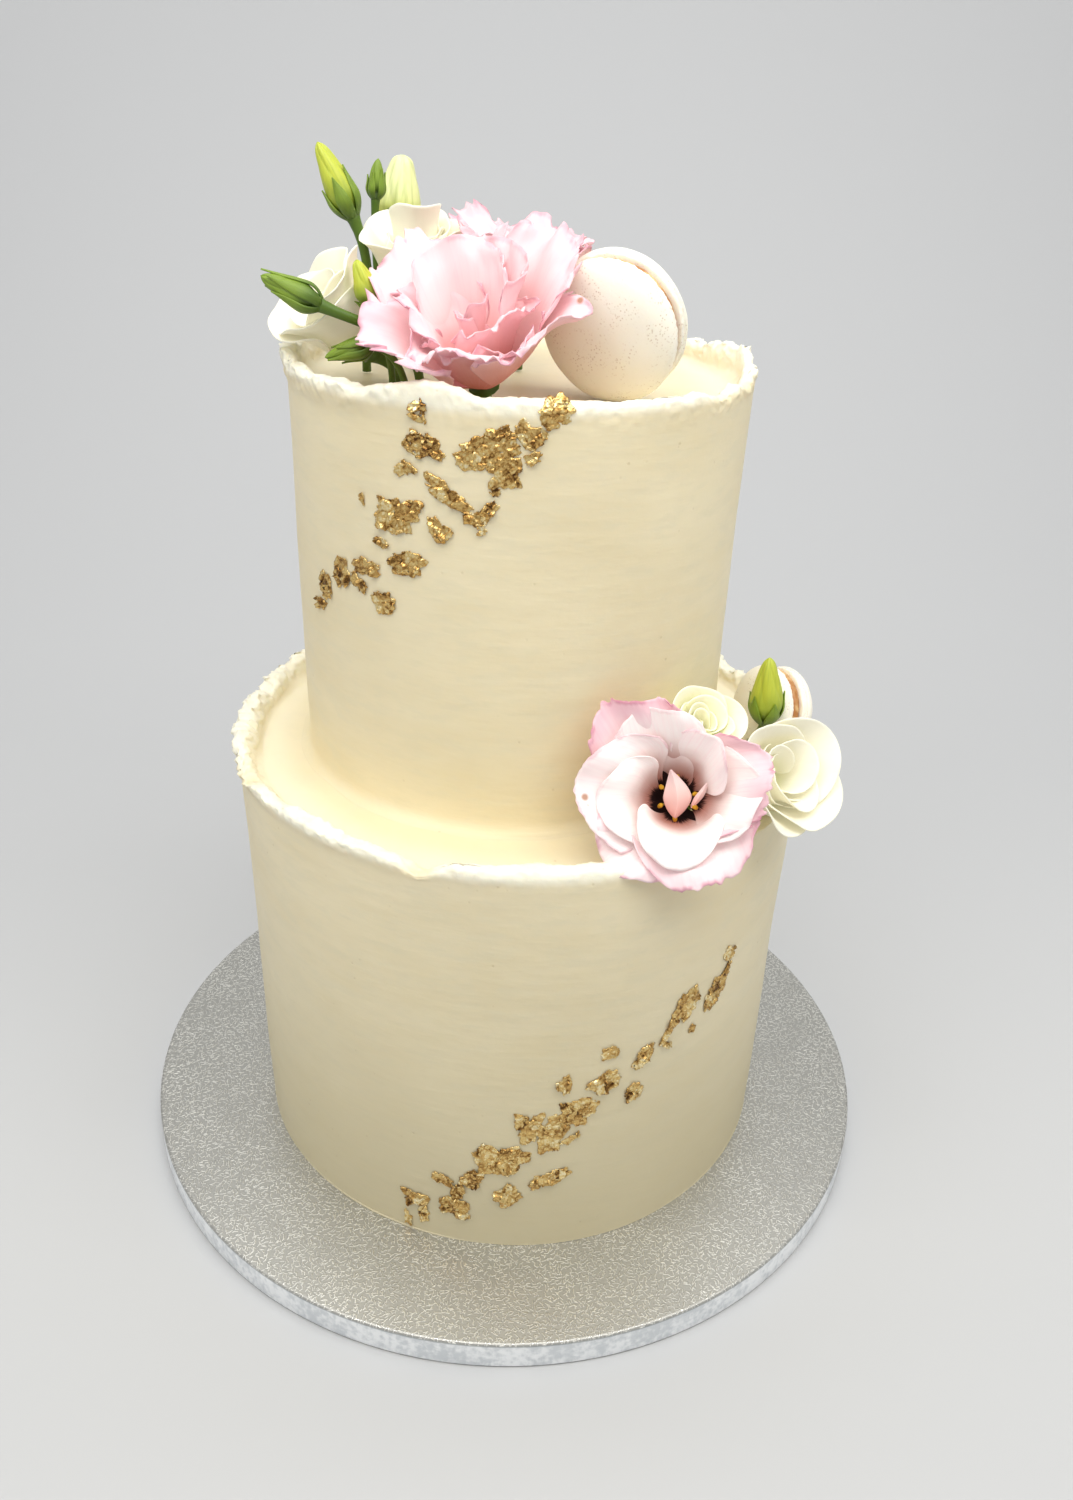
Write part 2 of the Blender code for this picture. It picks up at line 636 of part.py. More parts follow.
def main():
    remove_everything()
    cake = make_collection("two_tier_cake")
    foil = make_material("silver_foil", (0.62, 0.63, 0.65), 0.32, 1.0)
    icing = make_material("ivory_buttercream", (0.80, 0.72, 0.52), 0.5)
    pink = make_material("pink_petal", (0.86, 0.50, 0.55), 0.55)
    white = make_material("white_petal", (0.88, 0.87, 0.80), 0.55)
    cream = make_material("cream_petal", (0.87, 0.86, 0.62), 0.55)
    green = make_material("green_bud", (0.36, 0.50, 0.10), 0.5)
    shell = make_material("macaron_shell", (0.82, 0.72, 0.58), 0.65)
    filling = make_material("macaron_filling", (0.45, 0.24, 0.10), 0.5)

    make_board(cake, foil)
    make_tier("lower_tier", LOWER_CENTRE,
              (BOARD_THICK + GAP, LOWER_FOOT_RADIUS, LOWER_RIM_RADIUS, LEDGE_Z, LOWER_RIM_Z, LOWER_LIP,
               LOWER_FILLET),
              LOWER_BUMPS, 0.4, LOWER_GOLD, cake, icing)
    make_tier("upper_tier", UPPER_CENTRE,
              (LEDGE_Z + GAP, UPPER_FOOT_RADIUS, UPPER_RIM_RADIUS, UPPER_TOP_Z, UPPER_RIM_Z, UPPER_LIP,
               UPPER_FILLET),
              UPPER_BUMPS, 1.7, UPPER_GOLD, cake, icing)
    petals = {"pink": pink, "white": white, "cream": cream}
    for number, (name, flower) in enumerate(FLOWERS.items()):
        make_flower(name, flower, cake, petals[name.split("_")[0]], 40 + number)
    for name, bud in BUDS.items():
        make_bud(name, bud, cake, green)
    make_macaron("macaron_top", MACARON_TOP_RADIUS, (26.6, -35, 333.0), -27, -14, cake, shell, filling)
    make_macaron("macaron_side", MACARON_SIDE_RADIUS, (96, -14, 193.2), -68, 12, cake, shell, filling)


main()
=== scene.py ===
"""The looks of a two-tier flower cake on a silver drum board.

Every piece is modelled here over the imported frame, which gives its size and place.
Azimuths are degrees about +Z from the front (-Y) towards +X; lists of sizes are in millimetres.
"""
import math
import random
from functools import partial
from types import SimpleNamespace

import bmesh
import bpy
from bpy.props import FloatProperty, FloatVectorProperty, IntProperty, PointerProperty
from mathutils import Matrix, Vector, noise


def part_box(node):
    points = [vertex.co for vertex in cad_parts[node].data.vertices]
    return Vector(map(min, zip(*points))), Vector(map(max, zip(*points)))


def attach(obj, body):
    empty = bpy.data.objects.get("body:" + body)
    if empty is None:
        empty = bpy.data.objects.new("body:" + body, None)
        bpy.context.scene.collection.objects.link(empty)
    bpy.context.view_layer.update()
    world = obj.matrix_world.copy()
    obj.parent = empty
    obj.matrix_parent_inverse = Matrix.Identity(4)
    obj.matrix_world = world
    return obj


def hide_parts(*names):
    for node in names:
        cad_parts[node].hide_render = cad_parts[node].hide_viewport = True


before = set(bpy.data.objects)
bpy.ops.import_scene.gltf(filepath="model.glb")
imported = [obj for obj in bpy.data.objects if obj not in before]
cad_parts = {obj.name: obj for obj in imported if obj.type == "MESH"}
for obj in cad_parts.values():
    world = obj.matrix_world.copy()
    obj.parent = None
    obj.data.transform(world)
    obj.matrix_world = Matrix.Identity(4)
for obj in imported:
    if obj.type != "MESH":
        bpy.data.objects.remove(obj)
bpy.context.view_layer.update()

bl_info = {
    "name": "Two-tier flower cake",
    "version": (1, 0, 0),
    "blender": (4, 5, 0),
    "location": "View3D > Sidebar > Cake",
    "description": "Models a buttercream cake with gold leaf, lisianthus and macarons",
    "category": "Add Mesh",
}

MM = 0.001
BOARD_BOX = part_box("board")

# How finely pieces are cut, how many there are, and thin sizes
BOARD_STEPS = 360
TIER_SPACING = 1.0 * MM
SIDE_SWELL = 0.35 * MM
LEAF_THICKNESS = 0.06 * MM
FLAKE_ROOM = 1.3
FLOWER_SEED = 40
PETAL_STEPS = 60
FOLD_CELLS = (24, 32)
ANTHERS = 6
BUD_CELLS = (80, 48)
SEPALS = 5
SEPAL_CELLS = (8, 22)
SEPAL_THICKNESS = 0.35 * MM
SHELL_SPACING = 0.8 * MM
FILLING_SPACING = 0.7 * MM
FULL_TURN = 6.28


def linear(red, green, blue):
    """A colour read as 0 to 255 screen values, as the linear values that shaders take."""
    return tuple(((value / 255 + 0.055) / 1.055) ** 2.4 for value in (red, green, blue))


# Heights of the icing that the flowers' stems stand on
TOP_STAND = 310.3
LEDGE_STAND = 175.9

# Rises and dips of the rims: azimuth, spread in degrees, height
LOWER_BUMPS = (
    (-150, 14, 2.0), (-118, 9, 2.4), (-95, 6, 1.4), (-80, 7, 1.8), (-63, 7, -3.4), (-17.4, 3.5, -5.0),
    (-5, 7, 1.6), (12, 8, 1.6), (50, 24, -5.6), (94, 13, -3.6), (140, 12, 3.0), (172, 8, -2.0),
)
UPPER_BUMPS = (
    (-165, 14, 2.5), (-120, 9, 3.0), (-92, 7, 4.4), (-74, 7, 3.6), (-45, 8, 0.5), (-20, 11, 4.6),
    (5, 9, 1.4), (55, 9, -3.0), (72, 8, -3.4), (98, 9, 2.4), (125, 8, -2.4), (150, 9, 2.2),
)

# Gold leaf: azimuth, height on the cake, width, tallness, tilt in degrees
UPPER_GOLD = (
    (-21.8, 314.7, 7, 6.5, 0), (-20, 304.3, 12, 7.1, -17), (-24.1, 297.9, 2.8, 6.1, 58),
    (-25.6, 296.7, 4.8, 3.9, 0), (-15.5, 291.4, 16.1, 5.8, -27), (-27, 282.7, 16.1, 11.9, 0),
    (-31, 272.5, 3.6, 5.8, 66), (-16.7, 279.6, 6.2, 8.9, 69), (-4.3, 310.5, 8.3, 4, 8),
    (-6.6, 304.6, 16.8, 9.8, 10), (-2.7, 299, 10.4, 10, 20), (-4.3, 293, 3.5, 2.7, 0),
    (-6.5, 286.8, 9.5, 4.5, 42), (-9, 284.1, 6.7, 4.3, 10), (-7.3, 280.9, 3, 3.1, 0),
    (2.3, 310.2, 6.2, 8.3, 60), (3.1, 303.1, 3.8, 5.7, -60), (7.9, 316.3, 9.1, 9.4, 0),
    (-24.9, 267.7, 12.8, 8.1, 0), (-36, 263.5, 10.3, 5.6, 0), (-38.8, 257.2, 4.4, 7.7, 52),
    (-45.2, 257.5, 8.7, 9.7, 0), (-53.6, 250.1, 8.7, 8, 0), (-56.5, 242.4, 8.4, 4.5, 0),
    (-31.5, 253.3, 8, 7.5, 0), (-36.6, 285.1, 2.6, 3.8, 0),
)
LOWER_GOLD = (
    (18.4, 104.8, 7.3, 6.9, 18), (25.4, 98.9, 11, 5.4, 54), (30.7, 101, 3.3, 4.3, 42),
    (9.8, 92.2, 5.7, 8.5, 0), (17.9, 91.5, 12.9, 8, 18), (24.1, 82.5, 7.7, 7.8, 23),
    (12.7, 78.9, 13.2, 13.1, 0), (4.1, 72.9, 11.4, 13.6, 0), (8.1, 69.4, 10.9, 18.7, 0),
    (2.1, 77.9, 6.4, 3.8, 0), (11.9, 66.3, 7.3, 3.3, 38), (-1.9, 57.8, 17.4, 14.9, -11),
    (7.5, 47.1, 14.6, 7.1, 20), (-0.3, 38.8, 11, 9.5, 30), (-13.5, 43.6, 12.1, 5.1, -26),
    (-7.4, 46.3, 9.6, 7.7, 0), (-10.2, 38.9, 5.4, 7.8, 0), (-11, 29.5, 12.3, 10.7, 0),
    (-19.2, 28.8, 10.7, 7, 0), (-17.5, 21.9, 4.8, 8.1, 0), (-21.2, 16.7, 3.8, 7.9, 0),
    (45.4, 129.2, 4.8, 7.3, 53), (41.9, 115.5, 15.6, 9.2, 57), (44.7, 120.9, 9.5, 3.7, 59),
    (34, 116.7, 14.3, 11.6, 59), (30.8, 107, 12.3, 4.1, 66), (36.5, 103.5, 3.6, 4.5, 0),
)


def tier_of(name, centre, foot_z, sizes, **more):
    """A tier by its axis and its radius at foot and rim, height of top and rim, lip and fillet."""
    names = ("foot_radius", "rim_radius", "top_z", "rim_z", "lip", "fillet")
    lengths = {key: size * MM for key, size in zip(names, sizes)}
    axis = (centre[0] * MM, centre[1] * MM, 0)
    return SimpleNamespace(name=name, centre=axis, foot_z=foot_z, **lengths, **more)


LOWER = tier_of("lower", (2, -5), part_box("lower_tier")[0].z, (105, 107, 175, 181.5, 6, 0.1), phase=0.4,
                seed=1, blotches=14.0, bumps=LOWER_BUMPS, gold=LOWER_GOLD, gold_seed=60, gold_tone=0.68)
UPPER = tier_of("upper", (-2, 0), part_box("upper_tier")[0].z, (77.5, 78.5, 309.5, 318.3, 5, 5), phase=1.7,
                seed=2, blotches=17.0, bumps=UPPER_BUMPS, gold=UPPER_GOLD, gold_seed=10, gold_tone=0.62)

# Flowers: foot, azimuth and degrees of the lean, how frilled the lips are, petals, where the stem
# stands. Petals: their azimuths, length, half width, lean off the axis at foot, middle and lip,
# overlap, ruffle, and how mauve they are from 0 to 1.
FLOWERS = {
    "pink_flower_top": (
        (-13, -43, 315.6), -22, 22, 1.5,
        (((-62,), 43, 26, (68, 32, 76), 4.0, 2.2, 0.8), ((8,), 38, 27, (66, 24, 74), 4.0, 2.2, 0.6),
         ((80,), 45, 26, (68, 34, 74), 4.0, 2.2, 0.5), ((152, -135), 51, 27, (66, 32, 66), 4.0, 2.2, 0.6),
         ((-98,), 38, 21, (48, 16, 56), 3.0, 1.8, 0.6), ((-10,), 30, 19, (54, 22, 64), 3.0, 1.8, 0.5),
         ((70,), 36, 21, (48, 18, 48), 3.0, 1.8, 0.4), ((160, -148), 42, 24, (44, 14, 30), 3.0, 1.4, 0.4),
         ((-12,), 27, 14, (36, -6, 6), 0.5, 0.6, 0.4), ((75,), 31, 9, (14, 3, 10), 0.0, 0.6, 0.3)),
        (-12, -40, TOP_STAND)),
    "pink_flower_back": (
        (-3, 6, 325), 20, 6, 1.5,
        (((-75, 0, 70, 145, -140), 37, 23, (50, 18, 62), 4.0, 2.0, 0.7),
         ((30, -120), 26, 13, (35, 8, 25), 1.5, 1.0, 0.3)),
        (-3, 10, TOP_STAND)),
    "white_flower_left": (
        (-50, -16, 320), -66, 46, 0.14,
        (((-60, 30, 120, -150), 33, 27, (54, 16, 46), 3.5, 1.2, 0.0),
         ((-15, 105, -110), 29, 21, (46, 4, 32), 3.0, 0.8, 0.0)),
        (-42, -16, TOP_STAND)),
    "white_flower_back": (
        (-37, 2, 327), -15, 8, 0.16,
        (((40,), 41, 25, (34, 2, 18), 3.0, 0.8, 0.0), ((-78, 105), 33, 23, (44, 14, 44), 4.0, 1.2, 0.0),
         ((165, -150), 34, 23, (42, 12, 34), 4.0, 1.0, 0.0),
         ((-45, 90, 170), 30, 16, (34, 6, 24), 3.0, 0.8, 0.0)),
        (-38, 4, TOP_STAND)),
    "pink_flower_side": (
        (54, -77, 190), -10, 57, 0.45,
        (((-146,), 43, 21, (64, 42, 60), 4.0, 2.6, 1.0), ((-98,), 41, 26, (62, 36, 76), 4.0, 2.0, 0.3),
         ((-45,), 37, 24, (62, 40, 84), 4.0, 2.0, 0.5), ((22,), 37, 26, (62, 36, 86), 4.0, 2.0, 0.65),
         ((100,), 38.5, 21, (62, 34, 70), 4.0, 2.2, 0.9), ((172,), 28, 17, (62, 38, 60), 4.0, 2.0, 0.2),
         ((-160,), 38, 20, (64, 34, 62), 3.0, 1.2, 0.15), ((-86,), 35, 17, (62, 24, 84), 3.0, 1.0, 0.05),
         ((2,), 33, 18, (60, 16, 96), 3.0, 1.0, 0.05), ((90,), 37, 19, (62, 30, 68), 3.0, 1.0, 0.1),
         ((146,), 34, 14, (60, 26, 52), 3.0, 0.8, 0.3)),
        (57, -75, LEDGE_STAND)),
    "cream_flower_side": (
        (56, -59, 200.5), 28, 40, 0.06,
        (((-70, 50, 170), 28, 24, (78, -6, 50), 3.5, 0.5, 0.0),
         ((-10, 110, -130), 26, 19, (66, -12, 30), 3.5, 0.4, 0.0),
         ((60, 180, -60), 22, 13, (52, -14, 10), 3.0, 0.3, 0.0),
         ((10, 190), 17, 8, (40, -4, -6), 2.5, 0.2, 0.0)),
        (61, -59, LEDGE_STAND)),
    "white_flower_side": (
        (80.5, -49, 181), 36, 58, 0.12,
        (((-75, 15, 100, -165), 36, 27, (52, 18, 46), 4.0, 1.0, 0.0),
         ((-20, 100, -140), 31, 22, (54, -2, 34), 4.0, 0.7, 0.0),
         ((30, -120), 27, 18, (60, 2, 20), 3.5, 0.4, 0.0)),
        (79, -47, LEDGE_STAND)),
}

# Brown marks on petals: place and width
SIDE_BRUISES = ((22.4, -92.5, 199.1, 1.7), (23.1, -93.9, 196.6, 1.1))
TOP_BRUISES = ((14.8, -53.6, 343.2, 1.6),)

# Buds: tip, base, width, where the stem stands, colours of its foot and tip, blunt from 0 to 1,
# and how long its sepals are
BUDS = {
    "bud_tall": ((-67, -3, 379.5), (-57, -3, 359), 9.6, (-54, -2, TOP_STAND), "leaf", "yellow", 0.2, 0.62),
    "bud_small_green": ((-50.8, 20, 374.3), (-52, 20, 363), 5.6, (-51, 21, TOP_STAND),
                        "green", "leaf", 0.0, 0.8),
    "bud_pale": ((-44, 35, 374.6), (-46.8, 35, 352.6), 15.5, (-41, 33, TOP_STAND),
                 "yellow", "pale", 0.55, 0.3),
    "bud_left": ((-79, -44, 345.5), (-62.6, -44, 338), 8.2, (-34, -26, TOP_STAND),
                 "green", "leaf", 0.15, 1.02),
    "bud_middle": ((-52, -34, 349.5), (-48, -34, 336.5), 7.5, (-43, -25, TOP_STAND),
                   "leaf", "yellow", 0.3, 0.25),
    "bud_front": ((-61.5, -43, 322.5), (-48.3, -42, 326), 6.2, (-37, -40, TOP_STAND),
                  "green", "leaf", 0.0, 0.95),
    "bud_side": ((88.7, -32, 222.5), (90.2, -31, 197), 12, (84, -25, LEDGE_STAND),
                 "leaf", "yellow", 0.1, 0.55),
}

# Macarons: radius, centre, azimuth and rise of the way the front shell faces
MACARONS = {
    "macaron_top": (22.2, (26.6, -35, 333.0), -27, -14),
    "macaron_side": (16.5, (96, -14, 193.2), -68, 12),
}
# A shell's outline: reach as a share of its radius, height as a share of its own, coarseness
SHELL_OUTLINE = ((0.0, 1.0, 3), (0.45, 0.95, 2), (0.76, 0.78, 1.4), (0.93, 0.55, 1), (1.0, 0.33, 0.6),
                 (0.995, 0.25, 0.5), (0.955, 0.215, 0.4), (0.975, 0.13, 0.4), (0.975, 0.05, 0.4),
                 (0.95, 0.0, 2), (0.0, 0.0, 1))


# Sizes and colours that a user may change

def length_of(name, description, default):
    return FloatProperty(name=name, description=description, default=default, unit="LENGTH")


def angle_of(name, description, degrees):
    return FloatProperty(name=name, description=description, default=math.radians(degrees), subtype="ANGLE")


def count_of(name, description, default, least):
    return IntProperty(name=name, description=description, default=default, min=least)


def colour_of(name, description, *screen):
    return FloatVectorProperty(name=name, description=description, default=linear(*screen), subtype="COLOR")


class BoardSettings(bpy.types.PropertyGroup):
    radius: length_of("Radius", "Half the drum's width", BOARD_BOX[1].x)
    thickness: length_of("Thickness", "Height of the drum", BOARD_BOX[1].z)
    edge: length_of("Edge", "Radius of the rounded edge", 1.2 * MM)
    foil: colour_of("Foil", "Colour of the foil", 196, 195, 189)
    grain: length_of("Grain", "Length of the embossed grains", 1.9 * MM)


class IcingSettings(bpy.types.PropertyGroup):
    colour: colour_of("Buttercream", "Colour of the icing", 238, 226, 192)
    shade: colour_of("Shade", "Colour where the icing is deeper", 232, 218, 180)
    steps: count_of("Steps", "Points round each tier, a multiple of 8", 640, 64)
    tear: length_of("Tear", "Height of the fine tears of the rims", 1.3 * MM)
    gold: colour_of("Gold leaf", "Colour of the leaf", 212, 172, 102)
    cell: length_of("Leaf cell", "Finest crease of the gold leaf", 0.23 * MM)


class FlowerSettings(bpy.types.PropertyGroup):
    cells: count_of("Cells", "Cells across a petal", 56, 6)
    thickness: length_of("Thickness", "Thickness of a petal", 0.35 * MM)
    pink: colour_of("Pink", "Body of the pink petals", 250, 219, 219)
    pale_pink: colour_of("Pale pink", "Body of the side flower's petals", 255, 245, 241)
    blush: colour_of("Blush", "Mauve pink towards the lips", 236, 190, 200)
    mauve: colour_of("Mauve", "Fine edge of the pink petals", 204, 140, 158)
    white: colour_of("White", "Body of the white petals", 248, 244, 223)
    cream: colour_of("Cream", "Body of the cream petals", 247, 245, 216)
    green: colour_of("Green", "Sepals and stems", 76, 106, 24)
    leaf: colour_of("Leaf", "Feet of the buds", 126, 152, 46)
    yellow: colour_of("Yellow green", "Tips of the buds", 194, 203, 68)
    pale: colour_of("Pale green", "Opening buds", 237, 242, 178)


class MacaronSettings(bpy.types.PropertyGroup):
    shell: colour_of("Shell", "Colour of the shells", 255, 252, 241)
    filling: colour_of("Filling", "Colour of the filling", 176, 116, 58)
    height: length_of("Shell height", "Height of one shell", 9 * MM)
    gap: length_of("Filling height", "Height of the filling", 3.2 * MM)
    steps: count_of("Steps", "Points round a shell, a multiple of 8", 216, 24)


class StageSettings(bpy.types.PropertyGroup):
    distance: length_of("Distance", "Camera in front of the board's middle", 428.5 * MM)
    height: length_of("Height", "Camera above the floor", 399.1 * MM)
    pitch: angle_of("Pitch", "How far the camera looks down", 28.63)
    yaw: angle_of("Yaw", "How far the camera looks to the right", 1.1)
    roll: angle_of("Roll", "How far the camera leans", 2.17)
    focal: FloatProperty(name="Focal share", description="Focal length over the picture's height",
                         default=1229.7 / 1500)
    floor: colour_of("Floor", "Colour of the floor", 199, 200, 201)


# Shader building

class Wire:
    """A shader socket that Python's operators work on; each adds the Math node that it means."""

    def __init__(self, tree, socket=None):
        self.tree = tree
        self.socket = socket

    def make(self, kind, settings=None, sockets=None, out=0):
        """Add a node: its settings first, then the values or wires of its sockets."""
        node = self.tree.nodes.new("ShaderNode" + kind)
        for name, value in (settings or {}).items():
            if name == "stops":
                set_stops(node.color_ramp, value)
            else:
                setattr(node, name, value)
        for key, value in (sockets or {}).items():
            if isinstance(value, Wire):
                self.tree.links.new(value.socket, node.inputs[key])
            else:
                node.inputs[key].default_value = value
        return Wire(self.tree, node.outputs[out])

    def other(self, out):
        """Another output of the node that this wire leaves."""
        return Wire(self.tree, self.socket.node.outputs[out])

    def math(self, operation, *values):
        return self.make("Math", {"operation": operation}, dict(enumerate(values)))

    def __add__(self, other):
        return self.math("ADD", self, other)

    def __sub__(self, other):
        return self.math("SUBTRACT", self, other)

    def __rsub__(self, other):
        return self.math("SUBTRACT", other, self)

    def __mul__(self, other):
        return self.math("MULTIPLY", self, other)

    __radd__ = __add__
    __rmul__ = __mul__

    def __abs__(self):
        return self.math("ABSOLUTE", self)

    def part(self, axis):
        """The X, Y or Z of a vector, for 0, 1 or 2."""
        return self.make("SeparateXYZ", sockets={0: self}, out=axis)

    def stretched(self, *scale):
        return self.make("Mapping", sockets={"Vector": self, "Scale": scale})

    def noise(self, scale, detail=3.0, rough=0.5):
        """Noise over this vector."""
        sockets = {"Vector": self, "Scale": scale, "Detail": detail, "Roughness": rough}
        return self.make("TexNoise", sockets=sockets)

    def step(self, low, high):
        """Nought below low, one above high, and smooth between."""
        sockets = {"Value": self, "From Min": low, "From Max": high}
        return self.make("MapRange", {"interpolation_type": "SMOOTHSTEP"}, sockets)

    def mix(self, first, second):
        """One colour to another by this factor; each is a wire or three values."""
        sockets = {0: self}
        for key, colour in ((6, first), (7, second)):
            sockets[key] = colour if isinstance(colour, Wire) else (*colour, 1.0)
        return self.make("Mix", {"data_type": "RGBA"}, sockets, out=2)

    def bump(self, distance, strength, under=None):
        """Relief of this height, laid over another relief or the plain surface."""
        sockets = {"Height": self, "Distance": distance, "Strength": strength}
        if under:
            sockets["Normal"] = under
        return self.make("Bump", sockets=sockets)


def set_stops(ramp, stops):
    """Give a colour ramp its stops, each a place and a colour of three values."""
    while len(ramp.elements) < len(stops):
        ramp.elements.new(0.5)
    for element, (place, colour) in zip(ramp.elements, stops):
        element.position = place
        element.color = (*colour, 1.0)


def start_material(name):
    """A new material and its Object coordinates, as a wire to build on."""
    material = bpy.data.materials.new(name)
    material.use_nodes = True
    return material, Wire(material.node_tree).make("TexCoord", out=3)


def finish_material(material, colour, roughness, normal=None, more=None):
    """Feed the shader: wires where a value varies over the surface, else values for all of it."""
    tree = material.node_tree
    inputs = tree.nodes["Principled BSDF"].inputs
    values = {"Base Color": colour, "Roughness": roughness, "Normal": normal} | (more or {})
    for name, value in values.items():
        if isinstance(value, Wire):
            tree.links.new(value.socket, inputs[name])
        elif value is not None:
            inputs[name].default_value = value
    return material


def soft(share, colours, reach):
    """Shader values of light that goes in: its share, how far each colour goes, and the reach in mm."""
    return {"Subsurface Weight": share, "Subsurface Radius": colours, "Subsurface Scale": reach * MM}


# Mesh building

def quarter(steps):
    """Angles of a quarter turn, in even steps."""
    return [math.pi / 2 * step / steps for step in range(steps + 1)]


def polar(reach, turn, z):
    """The point at a reach from the axis, an angle from the front and a height."""
    return Vector((reach * math.sin(turn), -reach * math.cos(turn), z))


def turned_solid(outline, steps):
    """A bmesh turned from an outline that runs from the axis at the top to the axis below."""
    body = bmesh.new()
    points = [body.verts.new((reach, 0.0, z)) for reach, z in outline]
    edges = [body.edges.new(pair) for pair in zip(points, points[1:])]
    bmesh.ops.spin(body, geom=points + edges, axis=(0, 0, 1), cent=(0, 0, 0), steps=steps // 8,
                   angle=math.pi / 4, use_merge=False)
    for doubling in (1, 2, 4):
        copy = bmesh.ops.duplicate(body, geom=body.verts[:] + body.edges[:] + body.faces[:])["geom"]
        copy = [item for item in copy if isinstance(item, bmesh.types.BMVert)]
        bmesh.ops.rotate(body, verts=copy, cent=(0, 0, 0),
                         matrix=Matrix.Rotation(math.pi / 4 * doubling, 3, "Z"))
    bmesh.ops.remove_doubles(body, verts=body.verts, dist=0.001 * MM)
    bmesh.ops.recalc_face_normals(body, faces=body.faces)
    return body


def smooth_outline(corners, spacing):
    """Points along a smooth curve through the corners, each given as reach, z and coarseness."""
    lengths = [math.hypot(b[0] - a[0], b[1] - a[1]) for a, b in zip(corners, corners[1:])]
    slopes = []
    for index in range(len(corners)):
        low, high = max(index - 1, 0), min(index + 1, len(corners) - 1)
        run = sum(lengths[low:high])
        slopes.append([(corners[high][axis] - corners[low][axis]) / run for axis in (0, 1)])
    points = []
    for index, length in enumerate(lengths):
        count = max(1, round(length / (spacing * corners[index][2])))
        for step in range(count):
            t = step / count
            pair = [(2 * t ** 3 - 3 * t ** 2 + 1) * corners[index][axis]
                    + (t ** 3 - 2 * t ** 2 + t) * slopes[index][axis] * length
                    + (3 * t ** 2 - 2 * t ** 3) * corners[index + 1][axis]
                    + (t ** 3 - t ** 2) * slopes[index + 1][axis] * length for axis in (0, 1)]
            points.append((max(0.0, pair[0]), pair[1]))
    points.append((corners[-1][0], corners[-1][1]))
    return points


def finish_piece(name, body, materials, nodes):
    """Make a bmesh a piece of the cake that rides on the root and stands for CAD nodes."""
    mesh = bpy.data.meshes.new(name)
    body.to_mesh(mesh)
    body.free()
    for material in materials:
        mesh.materials.append(material)
    mesh.shade_smooth()
    piece = bpy.data.objects.new(name, mesh)
    bpy.context.scene.collection.objects.link(piece)
    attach(piece, "root")
    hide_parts(*nodes)
    return piece


def rough(place, size, seed):
    """Smooth noise from -1 to 1 whose lumps are about size wide."""
    return noise.noise(Vector(place) / size + Vector((seed, 3.1 * seed, -seed)))


def thicken(piece, thickness):
    """Give sheets their thickness, half of it to each side."""
    wall = piece.modifiers.new("Thickness", "SOLIDIFY")
    wall.thickness = thickness
    wall.offset = 0.0
    return wall


# Board

def strokes_of(place, board, shift):
    """Short raised strokes like grains of rice, one in each cell and turned its own way."""
    moved = place.make("Mapping", sockets={"Vector": place, "Location": (shift, 0.7 * shift, 0)})
    cells = place.make("TexVoronoi", {"feature": "F1", "voronoi_dimensions": "2D"},
                       {"Vector": moved, "Scale": 1 / board.grain, "Randomness": 1.0})
    away = place.make("VectorMath", {"operation": "SUBTRACT"}, {0: moved, 1: cells.other("Position")})
    x, y = away.part(0), away.part(1)
    angle = place.make("SeparateColor", sockets={0: cells.other("Color")}) * FULL_TURN
    cosine, sine = angle.math("COSINE", angle), angle.math("SINE", angle)
    ends = abs(x * cosine + y * sine).step(0.48 * board.grain, 0.34 * board.grain)
    return ends * abs(y * cosine - x * sine).step(0.14 * board.grain, 0.05 * board.grain)


def foil_material(board):
    """Embossed foil: raised strokes painted pale as highlights on a darker ground, fuller in patches."""
    material, place = start_material("silver_foil")
    strokes = place.math("MAXIMUM", strokes_of(place, board, 0.0), strokes_of(place, board, 0.31))
    patch = place.noise(60.0, 2.0).step(0.3, 0.65)
    fine = place.noise(1500.0, 2.0)
    ground = fine.mix(tuple(value * 0.72 for value in board.foil), board.foil)
    # Painted highlight: the raised strokes are coloured pale, where real foil would only glint.
    colour = (strokes * (0.6 + 0.4 * patch)).mix(ground, linear(240, 239, 232))
    relief = (strokes + fine * 0.3).bump(0.16 * MM, 0.8)
    return finish_material(material, colour, 0.46 - 0.14 * strokes, relief, {"Metallic": 0.9})


def band_material(board):
    """The foil round the drum's side, drawn tight with fine upright creases, with a painted dark reflection
    under its top edge.
    """
    material, place = start_material("silver_band")
    crease = place.stretched(1, 1, 0.25).noise(240.0, 4.0, 0.65)
    wide = place.noise(38.0, 2.0)
    mottle = (0.3 * wide + 0.3 * crease + 0.4 * place.noise(420.0, 3.0)).step(0.42, 0.58)
    plain = mottle.mix(linear(248, 250, 251), linear(216, 220, 223))
    # Painted reflection: a dark band just under the top edge of the foil.
    top = place.part(2).step(board.thickness - 1.5 * MM, board.thickness - 0.7 * MM)
    colour = (top * 0.7).mix(plain, linear(112, 116, 116))
    relief = crease.bump(0.5 * MM, 0.7)
    return finish_material(material, colour, 0.2 + 0.3 * wide, relief, {"Metallic": 0.45})


class CAKE_OT_board(bpy.types.Operator):
    """Make the foil-covered drum board"""
    bl_idname = "cake.board"
    bl_label = "Board"

    def execute(self, context):
        board = context.scene.cake_board
        edge = board.edge
        arc = [(board.radius - edge + edge * math.sin(turn), board.thickness - edge + edge * math.cos(turn))
               for turn in quarter(4)]
        outline = [(0.0, board.thickness), (board.radius * 0.5, board.thickness)] + arc
        outline += [(reach, board.thickness - z) for reach, z in reversed(outline)]
        body = turned_solid(outline, BOARD_STEPS)
        for face in body.faces:
            if abs(face.normal.z) < 0.5:
                face.material_index = 1
        piece = finish_piece("drum_board", body, [foil_material(board), band_material(board)],
                             ["board"])
        piece.data.set_sharp_from_angle(angle=math.radians(40))
        return {"FINISHED"}


# Tiers

